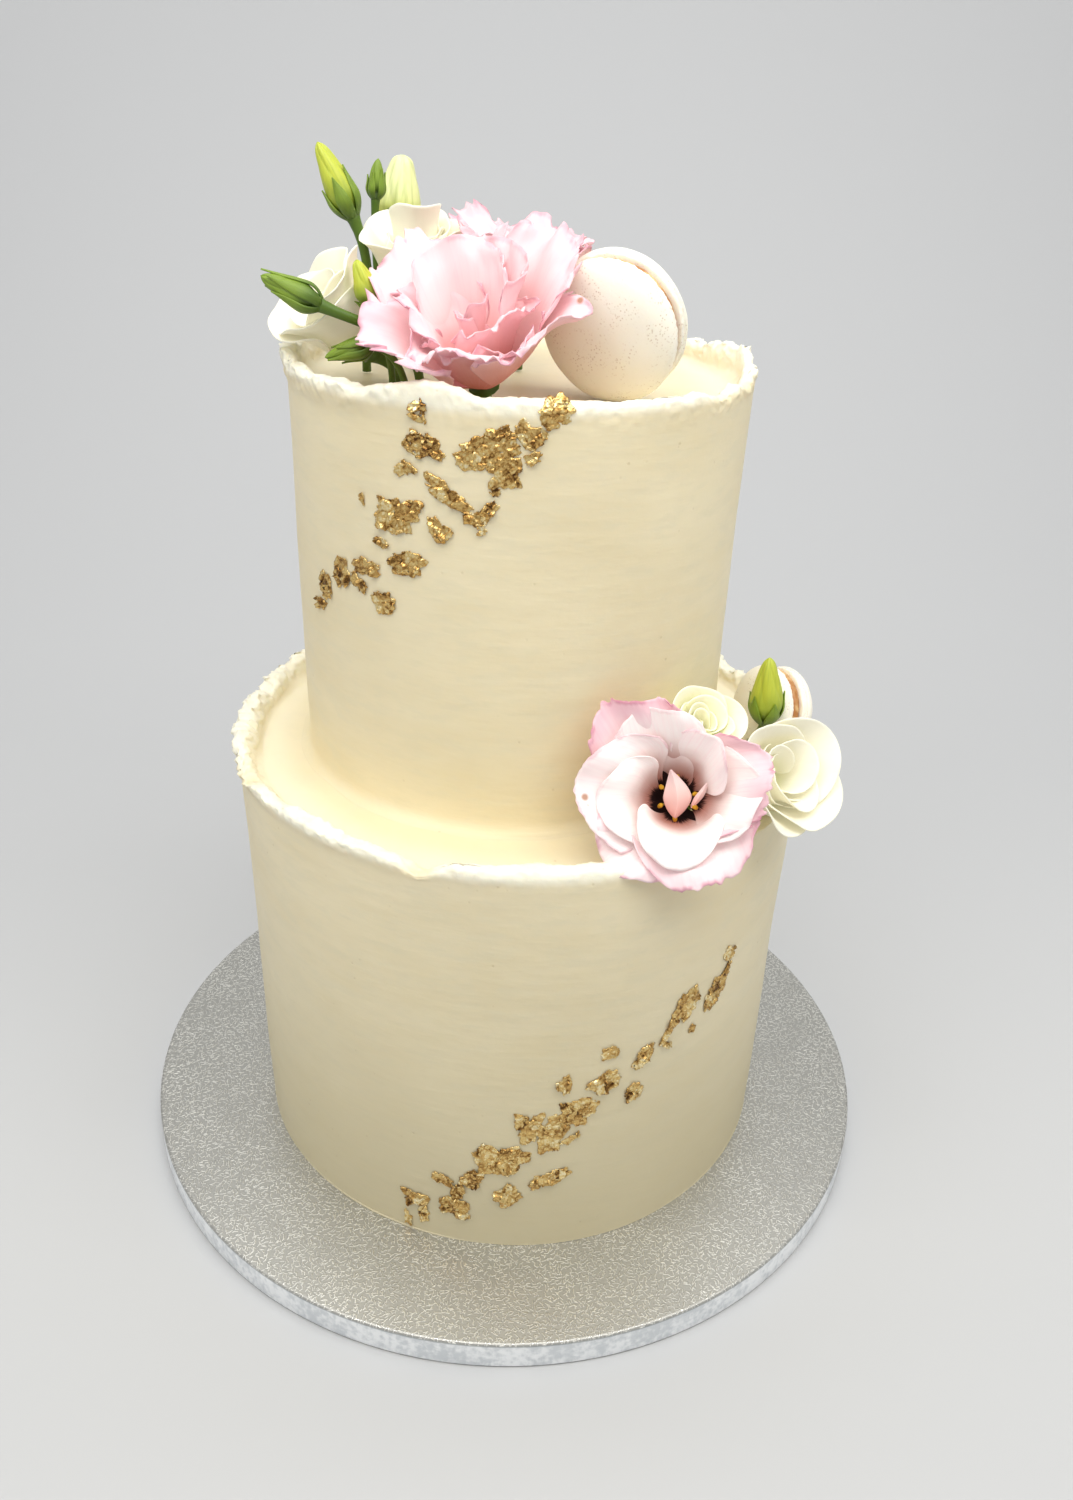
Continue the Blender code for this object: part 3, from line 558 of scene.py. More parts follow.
def icing_material(icing, tier):
    """Smoothed buttercream: faint strokes and pits, crumbly rim; painted shade in pits and low down, painted
    light on ledge and rim.
    """
    material, place = start_material(tier.name + "_icing")
    height = place.part(2)
    blotch = place.noise(tier.blotches, 3.0)
    smear = place.stretched(1, 1, 3).noise(30.0, 4.0, 0.55)
    colour = (blotch * 0.6 + smear * 0.4).step(0.34, 0.7).mix(icing.colour, icing.shade)
    streak = place.stretched(1, 1, 3).noise(70.0, 5.0, 0.62).step(0.46, 0.66)
    colour = (streak * 0.5).mix(colour, linear(229, 219, 187))
    # Painted shade: the icing darkens towards the lower tier's foot; the upper tier stands above this range.
    colour = (height.step(172 * MM, 15 * MM) * 0.7).mix(colour, linear(204, 193, 158))
    across = place.make("Mapping", sockets={"Vector": place, "Scale": (1, 1, 0),
                                            "Location": (-tier.centre[0], -tier.centre[1], 0)})
    reach = place.make("VectorMath", {"operation": "LENGTH"}, {0: across}, out=1)
    # Painted light: the top of each tier is whitened in a band near its rim.
    painted_ledge_light = height.step(tier.top_z - 3 * MM, tier.top_z - 1 * MM)
    painted_ledge_light = painted_ledge_light * reach.step(tier.rim_radius - 24 * MM, tier.rim_radius - 9 * MM)
    painted_ledge_light = painted_ledge_light * reach.step(tier.rim_radius - 2 * MM, tier.rim_radius - 4 * MM)
    colour = (painted_ledge_light * 0.35).mix(colour, linear(255, 252, 234))
    crumb = place.noise(330.0, 4.0, 0.65)
    # Painted light: the crumbly rim top is whitened in patches that follow the crumbs.
    rim = height.step(tier.rim_z - 5 * MM, tier.rim_z - 1 * MM)
    colour = (rim * (0.6 + 0.5 * crumb)).mix(colour, linear(255, 251, 232))
    pits = place.make("TexVoronoi", {"feature": "F1"}, {"Vector": place, "Scale": 230.0})
    pit_and_shade = (1 - pits.step(0.04, 0.16)) * place.noise(55.0, 2.0).step(0.58, 0.66)
    # Painted shade: the pits, which are also sunk into the relief, are darkened.
    colour = (pit_and_shade * 0.25).mix(colour, linear(176, 150, 104))
    strokes = place.stretched(1, 1, 5).noise(46.0, 3.0, 0.55)
    low = (strokes * 0.6 + smear * 0.4).bump(0.7 * MM, 0.5)
    relief = (place.noise(520.0, 3.0) * 0.35 - pit_and_shade + rim * crumb * 3.0).bump(0.14 * MM, 0.55, low)
    more = {"Specular IOR Level": 0.4} | soft(0.18, (1.0, 0.85, 0.55), 2.5)
    return finish_material(material, colour, 0.4 + 0.2 * smear, relief, more)


def rim_rise(azimuth, tier, broken):
    """How far a rim stands above its plain height: its bumps, and waves where it is broken."""
    rise = 0.0
    for where, spread, height in tier.bumps:
        away = (azimuth - where + 180) % 360 - 180
        rise += height * math.exp(-(away / spread) ** 2)
    turn = math.radians(azimuth)
    waves = math.sin(23 * turn + tier.phase) + 0.6 * math.sin(37 * turn + 2 * tier.phase)
    return (rise + 0.7 * broken * waves) * MM


def lip_growth(azimuth, lip):
    """How much wider than plain the lip is: thick and layered on the left and at the back."""
    turn = math.radians(azimuth)
    left = 0.5 - 0.5 * math.sin(turn + 0.3)
    return lip * (0.2 * left + 0.16 * math.sin(7 * turn) + 0.1 * math.sin(17 * turn + 1))


def torn(spot, seed):
    """Roughness of broken icing, from about -1 to 1: ragged creases over soft lumps."""
    place = Vector(spot) / (3.6 * MM) + Vector((seed, 2 * seed, 0))
    return 2.0 * (noise.turbulence(place, 3, True) - 0.42) + 0.5 * noise.noise(place * 0.25)


def swell(turn, z, tier):
    """How far a tier's side is out of round, at an angle and a height."""
    return SIDE_SWELL * (math.sin(3 * turn + tier.phase) + math.sin(5 * turn + 40 * z))


def tier_corners(tier):
    """Outline of a tier: reach, z and how coarse the spacing is, from the top's middle to the foot."""
    rim, top_z, rim_z, foot, foot_z, fillet = (tier.rim_radius, tier.top_z, tier.rim_z, tier.foot_radius,
                                               tier.foot_z, tier.fillet)
    inner = rim - tier.lip
    corners = [
        (0.0, top_z, 12), (inner * 0.55, top_z, 9), (inner - 12 * MM, top_z, 2.4),
        (inner - 3 * MM, top_z + 0.1 * MM, 0.8), (inner - 0.5 * MM, top_z + 1.6 * MM, 0.7),
        (inner, (top_z + rim_z) / 2, 0.7), (inner + 0.8 * MM, rim_z - 0.8 * MM, 0.6),
        (inner + 1.8 * MM, rim_z, 0.6), (rim - 1.9 * MM, rim_z, 0.6),
        (rim - 0.5 * MM, rim_z - 0.9 * MM, 0.7), (rim, rim_z - 2.6 * MM, 0.9),
        (rim, rim_z - 9 * MM, 2.2), ((rim + foot) / 2, (rim_z + foot_z) / 2, 3.2),
        (foot, foot_z + 2.4 * fillet, 2.0),
    ]
    base = foot_z - min(0.5 * MM, fillet)
    corners += [(foot + fillet * (1 - math.cos(turn)), base + fillet * (1 - math.sin(turn)), 0.8)
                for turn in quarter(4)]
    return corners + [(foot + 1.1 * fillet, base - 0.2 * MM, 3), (0.0, base - 0.2 * MM, 1)]


def tier_body(icing, tier):
    """A tier with a finely torn rim: thick and broken on the left, worn smooth in front."""
    top_z, rim_z, lip, seed = tier.top_z, tier.rim_z, tier.lip, tier.seed
    inner = tier.rim_radius - lip
    body = turned_solid(smooth_outline(tier_corners(tier), TIER_SPACING), icing.steps)
    for point in body.verts:
        x, y, z = point.co
        radius = math.hypot(x, y)
        if radius < inner * 0.5 or z < tier.foot_z - 0.1 * MM:
            continue
        azimuth = math.degrees(math.atan2(x, -y))
        turn = math.radians(azimuth)
        front = max(0.0, math.cos(turn - 0.35)) ** 0.7
        broken = 1 - 0.68 * front
        share = min(1.0, max(0.0, (z - top_z) / (rim_z - top_z)))
        spot = (x, y, z)
        if z > top_z + 0.3 * MM and radius < tier.rim_radius - lip * 0.5:
            radius -= lip_growth(azimuth, lip) * min(1.0, share * 2.5)
        if z > top_z and radius > inner - lip * 1.5:
            across = Vector((x, y, 0))
            ragged = torn(across, seed) * 0.6 + rough(across, 13 * MM, seed + 6) * 0.8
            rise = rim_rise(azimuth, tier, broken)
            z += (rise + icing.tear * (0.12 + 1.1 * broken) * ragged) * share
            bulge = 2.2 * MM * max(0.0, -math.sin(turn))
            radius += share * (broken * 1.5 * MM * torn(spot, seed + 2) + bulge)
            crumbs = 0.7 * rough(spot, 4 * MM, seed + 3) + 0.6 * rough(spot, 2 * MM, seed + 7)
            radius += share * broken * MM * crumbs
        if radius > inner:
            radius += swell(turn, z, tier)
            radius += 0.25 * MM * rough(spot, 30 * MM, seed + 8)
        elif z < top_z + 0.5 * MM:
            z += 0.5 * MM * rough(spot, 22 * MM, seed + 4)
        point.co = polar(radius, turn, z)
    return body


def tier_piece(icing, tier):
    body = tier_body(icing, tier)
    body.transform(Matrix.Translation(tier.centre))
    finish_piece(tier.name + "_buttercream", body, [icing_material(icing, tier)], [tier.name + "_tier"])


class CAKE_OT_lower_tier(bpy.types.Operator):
    """Make the lower tier with its torn rim"""
    bl_idname = "cake.lower_tier"
    bl_label = "Lower tier"

    def execute(self, context):
        tier_piece(context.scene.cake_icing, LOWER)
        return {"FINISHED"}


class CAKE_OT_upper_tier(bpy.types.Operator):
    """Make the upper tier with its torn rim"""
    bl_idname = "cake.upper_tier"
    bl_label = "Upper tier"

    def execute(self, context):
        tier_piece(context.scene.cake_icing, UPPER)
        return {"FINISHED"}


# Gold leaf

def gold_material(icing):
    """Crumpled leaf: painted highlights on its crests and facets, painted shade in its creases."""
    material, place = start_material("gold_leaf")
    # The tone attribute holds painted light and shade: brightness of each facet and shade in the creases.
    tone = place.make("Attribute", {"attribute_name": "tone"}, out=2)
    fine = place.noise(1500.0, 3.0, 0.65)
    patch = place.noise(110.0, 2.0)
    level = tone + 0.5 * (fine - 0.5) + 0.35 * (patch - 0.5)
    colour = place.make("ValToRGB", {"stops": (
        (0.1, linear(84, 56, 28)), (0.3, linear(160, 118, 60)), (0.5, icing.gold),
        (0.75, linear(236, 208, 140)), (1.0, linear(254, 240, 196)))}, {0: level})
    relief = fine.bump(0.2 * MM, 0.6)
    return finish_material(material, colour, 0.16 + 0.22 * patch, relief, {"Metallic": 0.85})


def flake_edge(turn, seed):
    """Reach of a flake's torn outline, as a share of its half size."""
    place = (math.cos(turn), math.sin(turn), 0)
    wide, fine = rough(place, 0.9, seed), rough(place, 0.1, seed)
    return 1.0 + 0.5 * wide + 0.3 * rough(place, 0.35, seed) + 0.08 * fine


def crumple(spot, seed):
    """Height and painted tone of crumpled foil: flat facets of two sizes, each given a random painted
    brightness, with painted shade in the creases between.
    """
    height = tone = 0.0
    for size, share in ((3.2 * MM, 0.5), (0.9 * MM, 0.5)):
        place = Vector(spot) / size + Vector((seed, -seed, 0))
        away, points = noise.voronoi(place)
        lie = noise.noise_vector(points[0] * 3.7)
        height += share * (place - points[0]).dot(lie) * size * 1.6
        # Painted shade in the creases, painted brightness for each facet.
        crease = max(0.0, 1 - (away[1] - away[0]) * 6)
        tone += share * (1.3 * noise.noise(points[0] * 5.1) - 0.5 * crease)
    return height, tone


def add_flake(body, flake, number, icing, tier):
    """Lay one crinkled leaf of gold on a tier's side."""
    azimuth, height, wide, tall, tilt = flake
    tilt = math.radians(tilt)
    tones = body.verts.layers.float.get("tone") or body.verts.layers.float.new("tone")
    cells = [max(6, round(size * FLAKE_ROOM * MM / icing.cell)) for size in (wide, tall)]
    made = bmesh.ops.create_grid(body, x_segments=cells[0], y_segments=cells[1], size=0.5)["verts"]
    lost = []
    for point in made:
        across, along = point.co.x * 2 * FLAKE_ROOM, point.co.y * 2 * FLAKE_ROOM
        reach = (abs(across) ** 2.6 + abs(along) ** 2.6) ** (1 / 2.6)
        edge = flake_edge(math.atan2(along, across), number * 1.7)
        if reach > edge or rough((across, along, 0), 0.3, number + 40) > 0.68:
            lost.append(point)
        across, along = across * wide * MM / 2, along * tall * MM / 2
        side = across * math.cos(tilt) - along * math.sin(tilt)
        z = height * MM + across * math.sin(tilt) + along * math.cos(tilt)
        share = min(1.0, max(0.0, (z - tier.foot_z) / (tier.rim_z - tier.foot_z)))
        radius = tier.foot_radius + (tier.rim_radius - tier.foot_radius) * share
        turn = math.radians(azimuth) + side / radius
        radius += swell(turn, z, tier) + 0.1 * MM
        lift, tone = crumple((across, along, 0), number)
        # Painted light and shade of the crumples go into the tone attribute.
        point[tones] = tier.gold_tone + 0.7 * tone
        radius += max(0.1 * MM, (0.5 * MM + lift) * min(1.0, 5 * max(0.0, edge - reach) + 0.3))
        over = z - (tier.rim_z - 2.0 * MM)
        if over > 0:
            radius -= 0.5 * over - 0.5 * MM
        point.co = polar(radius, turn, z)
    bmesh.ops.delete(body, geom=lost, context="VERTS")


def gold_piece(icing, tier):
    body = bmesh.new()
    for number, flake in enumerate(tier.gold):
        add_flake(body, flake, tier.gold_seed + number, icing, tier)
    body.transform(Matrix.Translation(tier.centre))
    body.normal_update()
    piece = finish_piece(tier.name + "_gold_leaf", body, [gold_material(icing)], [tier.name + "_tier"])
    thicken(piece, LEAF_THICKNESS)


class CAKE_OT_gold(bpy.types.Operator):
    """Lay the two trails of gold leaf"""
    bl_idname = "cake.gold"
    bl_label = "Gold leaf"

    def execute(self, context):
        for tier in (UPPER, LOWER):
            gold_piece(context.scene.cake_icing, tier)
        return {"FINISHED"}


# Flowers

def lean_at(share, opens):
    """How far a petal leans off the axis at a share of its length."""
    foot, middle, lip = opens
    if share < 0.5:
        return math.radians(foot + (middle - foot) * share * 2)
    return math.radians(middle + (lip - middle) * (share * 2 - 1) ** 1.5)


def petal_profiles(length, opens):
    """Reach, rise and lean along a petal, from foot to lip."""
    reach = rise = 0.0
    table = []
    for step in range(PETAL_STEPS + 1):
        table.append((reach, rise, lean_at(step / PETAL_STEPS, opens)))
        lean = lean_at(min(1.0, (step + 0.5) / PETAL_STEPS), opens)
        reach += math.sin(lean) * length / PETAL_STEPS
        rise += math.cos(lean) * length / PETAL_STEPS
    return table


def petal_point(across, along, turn, petal, shape, table):
    """A point of a petal: across runs from -1 to 1, along from foot (0) to lip (1)."""
    length, width, overlap, ruffle, mauve = petal
    seed, phase, frill = shape
    frill *= min(1.0, width / 20) ** 2
    teeth = min(1.0, max(0.0, 0.7 + 2.4 * rough((across, 0, 0), 0.7, seed + 9)))
    tooth = teeth * (rough((across, 0, 0), 0.12, seed) + 0.8 * rough((across, 0, 0), 0.065, seed))
    share = along * (1 - 0.24 * abs(across) ** 2.5 + 0.17 * frill * mauve * tooth * along ** 8
                     + 0.06 * rough((across, 0, 0), 0.6, seed + 1) * along ** 3)
    index = min(len(table) - 1, round(share * (len(table) - 1)))
    reach, rise, lean = table[index]
    rest = share - index / (len(table) - 1)
    reach += math.sin(lean) * length * rest
    rise += math.cos(lean) * length * rest
    half = width * (0.08 + 0.92 * math.sin(math.pi / 2 * min(1.0, share / 0.75)) ** 2)
    angle = math.radians(turn) + across * half / max(reach + 2.5, 0.45 * half)
    reach += 1.2 + overlap * across * share
    spot = (across, along, 0)
    edge = max(along, abs(across) ** 4 * min(1.0, share * 1.5))
    curl = 2.4 * rough(spot, 0.34, seed + 3) + 1.2 * rough(spot, 0.16, seed + 4)
    ripple = ruffle * share ** 3 * math.sin(2.2 * math.pi * across + phase)
    ripple += frill * (edge ** 6 * curl + 1.9 * teeth * edge ** 12 * rough(spot, 0.09, seed + 5))
    ripple += 2.0 * share * rough((across, along * 0.6, 0), 0.8, seed + 6)
    ripple += 0.5 * edge ** 4 * rough(spot, 0.4, seed + 8)
    ripple -= 0.6 * (1 - across * across) * math.sin(math.pi * share)
    reach += ripple * math.cos(lean)
    rise -= ripple * math.sin(lean)
    return polar(reach, angle, rise) * MM


def add_sheet(body, cells, surface, place, tone):
    """Add a grid shaped by a surface function, with its own UVs and tone."""
    uv = body.loops.layers.uv.get("UVMap") or body.loops.layers.uv.new("UVMap")
    tones = body.verts.layers.float.get("tone") or body.verts.layers.float.new("tone")
    made = bmesh.ops.create_grid(body, x_segments=cells[0], y_segments=cells[1], size=1.0)["verts"]
    spots = {point: (point.co.x, (point.co.y + 1) / 2) for point in made}
    for point, (across, along) in spots.items():
        point.co = place @ surface(across, along)
        point[tones] = tone
    for face in {face for point in made for face in point.link_faces}:
        for loop in face.loops:
            across, along = spots[loop.vert]
            loop[uv].uv = ((across + 1) / 2, along)


def add_tube(body, route, radii, material=0, sides=12):
    """Add a stem: rings of points skinned along a route given in metres."""
    rings = []
    for index, centre in enumerate(route):
        ahead = route[min(index + 1, len(route) - 1)] - route[max(index - 1, 0)]
        ring = bmesh.ops.create_circle(body, segments=sides, radius=radii[index])["verts"]
        spin = ahead.to_track_quat("Z", "Y").to_matrix().to_4x4()
        bmesh.ops.transform(body, matrix=Matrix.Translation(centre) @ spin, verts=ring)
        rings.append(list({edge for point in ring for edge in point.link_edges}))
    for first, second in zip(rings, rings[1:]):
        for face in bmesh.ops.bridge_loops(body, edges=first + second)["faces"]:
            face.material_index = material
    for ring in (rings[0], rings[-1]):
        for face in bmesh.ops.holes_fill(body, edges=ring)["faces"]:
            face.material_index = material


def stem_route(start, heading, end, count):
    """Points of a stem that leaves start along heading and comes down upright onto end."""
    start, end = Vector(start), Vector(end)
    reach = (end - start).length * 0.4
    first = start + Vector(heading).normalized() * reach
    last = end + Vector((0, 0, reach))
    route = []
    for step in range(count):
        t = step / (count - 1)
        place = (start * (1 - t) ** 3 + first * 3 * t * (1 - t) ** 2
                 + last * 3 * t * t * (1 - t) + end * t ** 3)
        route.append(place * MM)
    return route


def petal_material(name, body, deep, lip, throat, reach, dark=None, bruises=()):
    """A petal's finish: throat to body, deeper towards mauve lips, with faint long veins and a faint painted
    glow.
    """
    material, place = start_material(name)
    uv = place.make("UVMap", {"uv_map": "UVMap"})
    along = uv.part(1)
    mauve = place.make("Attribute", {"attribute_name": "tone"}, out=2)
    vein = uv.stretched(44, 2.0, 1).noise(1.0, 3.0, 0.6)
    wander = place.noise(90.0, 3.0)
    height = along + 0.2 * (wander - 0.5)
    colour = height.step(0.24 if dark else 0.05, reach).mix(throat, body)
    colour = (vein.step(0.45, 0.75) * 0.16).mix(colour, deep)
    blush = mauve * (height + 0.1 * (vein - 0.5)).step(0.55, 1.02)
    colour = blush.mix(colour, deep)
    side = abs(uv.part(0) - 0.5) * 2 * along.step(0.5, 0.8)
    edge = place.math("MAXIMUM", along, side) + 0.03 * (vein - 0.5)
    patch = place.noise(130.0, 2.0).step(0.42, 0.62)
    colour = (edge.step(0.95, 0.992) * patch * (0.2 + 0.8 * mauve)).mix(colour, lip)
    if dark:
        star = along + 0.2 * (vein - 0.5) + 0.1 * (wander - 0.5)
        colour = (1 - star.step(0.27, 0.33)).mix(colour, dark)
    for *spot, wide in bruises:
        away = place.make("VectorMath", {"operation": "DISTANCE"}, {0: place, 1: Vector(spot) * MM}, out=1)
        mark = (away + 1.2 * MM * (wander - 0.5)).step(wide * MM, 0.4 * wide * MM)
        colour = (mark * 0.8).mix(colour, linear(158, 104, 58))
    relief = (vein + 0.4 * wander).bump(0.16 * MM, 0.4)
    # Painted light: the petals glow faintly in their own colour, standing for light that shines through them.
    more = {"Emission Color": colour, "Emission Strength": 0.08, "Specular IOR Level": 0.25}
    return finish_material(material, colour, 0.5 + 0.2 * vein, relief, more | soft(0.12, (1.0, 0.85, 0.8), 1))


def leaf_material(name, foot, tip, ribs):
    """A waxy green that runs from foot to tip, with long ribs of a third colour."""
    material, place = start_material(name)
    uv = place.make("UVMap", {"uv_map": "UVMap"})
    rib = uv.stretched(22, 1.4, 1).noise(1.0, 2.0)
    spot = place.noise(160.0, 3.0)
    green = (uv.part(1) + 0.25 * (spot - 0.5)).step(0.08, 0.6).mix(foot, tip)
    ribbed = (rib.step(0.45, 0.7) * 0.35).mix(green, ribs)
    relief = rib.bump(0.3 * MM, 0.5)
    return finish_material(material, ribbed, 0.36 + 0.2 * spot, relief, soft(0.25, (0.8, 1.0, 0.4), 1.5))


def leaning(foot, towards, lean):
    """The place of a thing that stands on its foot and leans towards an azimuth."""
    swing = Matrix.Rotation(math.radians(towards), 4, "Z") @ Matrix.Rotation(math.radians(lean), 4, "X")
    return Matrix.Translation(Vector(foot) * MM) @ swing


def flower_body(flower, settings, draw, place):
    """All petals of a flower as one bmesh."""
    frill, rings = flower[3], flower[4]
    draws = random.Random(draw)
    body = bmesh.new()
    for turns, length, width, opens, *curls in rings:
        across = max(16, round(settings.cells * (width / 20) ** 0.6))
        for turn in turns:
            long = length * draws.uniform(0.96, 1.04)
            petal = (long, width * draws.uniform(0.95, 1.05), *curls)
            shape = (turn * 0.37 + draw, draws.uniform(0, 2 * math.pi), frill)
            table = petal_profiles(long, opens)
            surface = partial(petal_point, turn=turn, petal=petal, shape=shape, table=table)
            add_sheet(body, (across, round(across * 0.7)), surface, place, curls[-1])
    return body


def finish_flower(name, settings, petals, leaf, slot, draw):
    """A flower's petals and its stem; of two finishes, the first is for the backs of the petals."""
    flower = FLOWERS[name]
    foot, stem_to, place = flower[0], flower[5], leaning(*flower[:3])
    body = flower_body(flower, settings, draw, place)
    piece = finish_piece(name + "_petals", body, petals, [name])
    thicken(piece, settings.thickness).material_offset = len(petals) - 1
    stem = bmesh.new()
    down = place.to_3x3() @ Vector((0, 0, -1))
    route = stem_route(Vector(foot) + down * 0.5, down, stem_to, 9)
    add_tube(stem, route, [(3.4 * 0.5 ** (step * 0.9) + 1.5) * MM for step in range(9)])
    finish_piece(name + "_stem", stem, [leaf], [name])


def anther_body(place):
    """Pollen-dusted anthers on thin filaments round a split pistil."""
    body = bmesh.new()
    draws = random.Random(5)
    for turn in range(ANTHERS):
        angle = math.radians(360 / ANTHERS * turn + draws.uniform(-12, 12))
        reach, rise = 6.4 + draws.uniform(-0.7, 0.7), 8 + draws.uniform(-1, 1)
        way = polar(1, angle, 0)
        route = [place @ ((way * reach * t ** 0.7 + Vector((0, 0, rise * t))) * MM)
                 for t in (0.05, 0.3, 0.55, 0.8, 1.0)]
        add_tube(body, route, [0.35 * MM] * 5, 0, 8)
        grain = bmesh.ops.create_icosphere(body, subdivisions=3, radius=1.0)["verts"]
        for point in grain:
            point.co *= 1 + 0.12 * rough(point.co, 0.4, turn)
        lay = Matrix.Rotation(angle, 4, "Z") @ Matrix.Rotation(math.radians(60), 4, "X")
        spot = place @ Matrix.Translation((way * reach + Vector((0, 0, rise))) * MM) @ lay
        shrink = Matrix.Diagonal((0.8 * MM, 1.7 * MM, 0.7 * MM, 1))
        bmesh.ops.transform(body, matrix=spot @ shrink, verts=grain)
        for face in {face for point in grain for face in point.link_faces}:
            face.material_index = 1
    heart = [place @ (Vector((0, 0, z)) * MM) for z in (-1, 0.5, 2, 3.5, 5, 6, 7)]
    add_tube(body, heart, [r * MM for r in (1.6, 2.6, 2.9, 2.2, 1.2, 0.9, 1.3)], 2, 16)
    return body


def fold_point(across, along, start, stop, half, fold):
    """A point of a petal folded along its middle, between two places over the flower's foot."""
    wide = half * (1.02 - abs(2 * along ** 0.75 - 1.02) ** 1.5)
    spot = start.lerp(stop, along) + Vector((across * wide, 0, fold * (1 - abs(across))))
    spot.x += 0.35 * fold * math.sin(math.pi * along)
    spot.y += 0.3 * wide * max(0.0, across)
    return spot * MM


def folded_body(place):
    """The small folded petal and the thin curled one that stand in the throat of the side flower."""
    body = bmesh.new()
    for start, stop, half, fold in (((0.4, -6.5, 9), (-2.6, 8.5, 13), 4.4, 3.6),
                                    ((5.2, -2.6, 9), (9.6, 6.2, 13), 1.3, 0.8)):
        surface = partial(fold_point, start=Vector(start), stop=Vector(stop), half=half, fold=fold)
        add_sheet(body, FOLD_CELLS, surface, place, 0.3)
    return body


def dust_material(name, scale, pale, deep, roughness, relief=None):
    """A fine speckle of two colours."""
    material, place = start_material(name)
    dust = place.noise(scale, 2.0)
    return finish_material(material, dust.mix(pale, deep), roughness, relief and dust.bump(relief, 0.8))


class CAKE_OT_flowers(bpy.types.Operator):
    """Make the lisianthus flowers"""
    bl_idname = "cake.flowers"
    bl_label = "Flowers"

    def execute(self, context):
        look = context.scene.cake_flowers
        lips = (look.blush, look.mauve)
        # The pink, folded and side throats are the flowers' deeper throats with painted shade of the cup
        # mixed in; the side flower's dark star is its own colour.
        pink = petal_material("pink_petal", look.pink, *lips, linear(222, 152, 148), 0.75,
                              bruises=TOP_BRUISES)
        fold = petal_material("folded_petal", linear(253, 228, 222), *lips, linear(232, 176, 166), 0.95)
        # Painted shade: the backs of the pink petals are a darker, salmon copy of the pink finish.
        under = petal_material("pink_petal_back", linear(242, 196, 196), *lips, linear(190, 100, 82), 0.95)
        side = petal_material("pale_pink_petal", look.pale_pink, *lips, linear(170, 106, 88), 0.8,
                              linear(30, 12, 14), SIDE_BRUISES)
        # Painted highlight: the lips of the white and cream petals are whiter than their bodies, as lit
        # edges.
        white = petal_material("white_petal", look.white, linear(247, 244, 222), linear(254, 253, 242),
                               linear(216, 222, 150), 0.62)
        cream = petal_material("cream_petal", look.cream, linear(246, 246, 196), linear(255, 255, 238),
                               linear(204, 206, 104), 0.75)
        leaf = leaf_material("flower_stem", look.green, look.leaf, look.green)
        finishes = {"pink": [under, pink], "white": [white], "cream": [cream]}
        for number, name in enumerate(FLOWERS):
            colour = name.split("_")[0]
            petals = [side] if name == "pink_flower_side" else finishes[colour]
            finish_flower(name, look, petals, leaf, colour + "_petal", FLOWER_SEED + number)
        place = leaning(*FLOWERS["pink_flower_side"][:3])
        pollen = dust_material("pollen", 900.0, linear(236, 190, 40), linear(190, 130, 30), 0.8, 0.3 * MM)
        thread = dust_material("filament", 300.0, linear(226, 214, 120), linear(160, 120, 70), 0.5)
        folded = finish_piece("pink_flower_side_folded", folded_body(place), [fold],
                              ["pink_flower_side"])
        folded.data.set_sharp_from_angle(angle=math.radians(30))
        thicken(folded, look.thickness)
        finish_piece("pink_flower_side_anthers", anther_body(place), [thread, pollen, leaf],
                     ["pink_flower_side"])
        return {"FINISHED"}


# Buds

def bud_swell(along, blunt):
    """Radius of a bud at a share of its length, as a share of its widest."""
    grown = math.sin(math.pi / 2 * min(1.0, 0.12 + along / 0.34)) ** 0.8
    past = max(0.0, (along - 0.3) / 0.7)
    return grown * (1 - (0.78 - 0.26 * blunt) * past ** (1.5 - 0.4 * blunt))


def bud_point(across, along, length, radius, blunt):
    """Furled petals: a spindle with twisted furrows, rounded at its tip."""
    angle = across * math.pi
    furrow = abs(math.sin(2.5 * (angle + 1.6 * along))) ** 0.6 - 0.7
    reach = radius * (bud_swell(along, blunt) + 0.1 * furrow * min(1.0, 1.6 * along))
    reach += 0.25 * rough((math.sin(angle), math.cos(angle), along * 2), 0.8, length)
    reach = max(0.04, reach * (1 - along ** (22 + 30 * blunt)))
    rise = length * along + 0.5 * blunt * along ** 6 * math.sin(5 * angle)
    return polar(reach, angle, rise) * MM


def sepal_point(across, along, length, radius, share):
    """A narrow pointed leaf that hugs a share of the bud and turns its tip out."""
    hug = radius * bud_swell(along * share, 0.3) + 0.35
    out = 3.4 * max(0.0, along - 0.6) ** 2
    half = radius * 0.48 * math.sin(math.pi * (0.22 + 0.775 * along)) ** 1.3 + 0.06
    angle = across * half / hug
    reach = hug + out + 0.3 * (1 - abs(across))
    return polar(reach, angle, length * share * along - 1.2) * MM


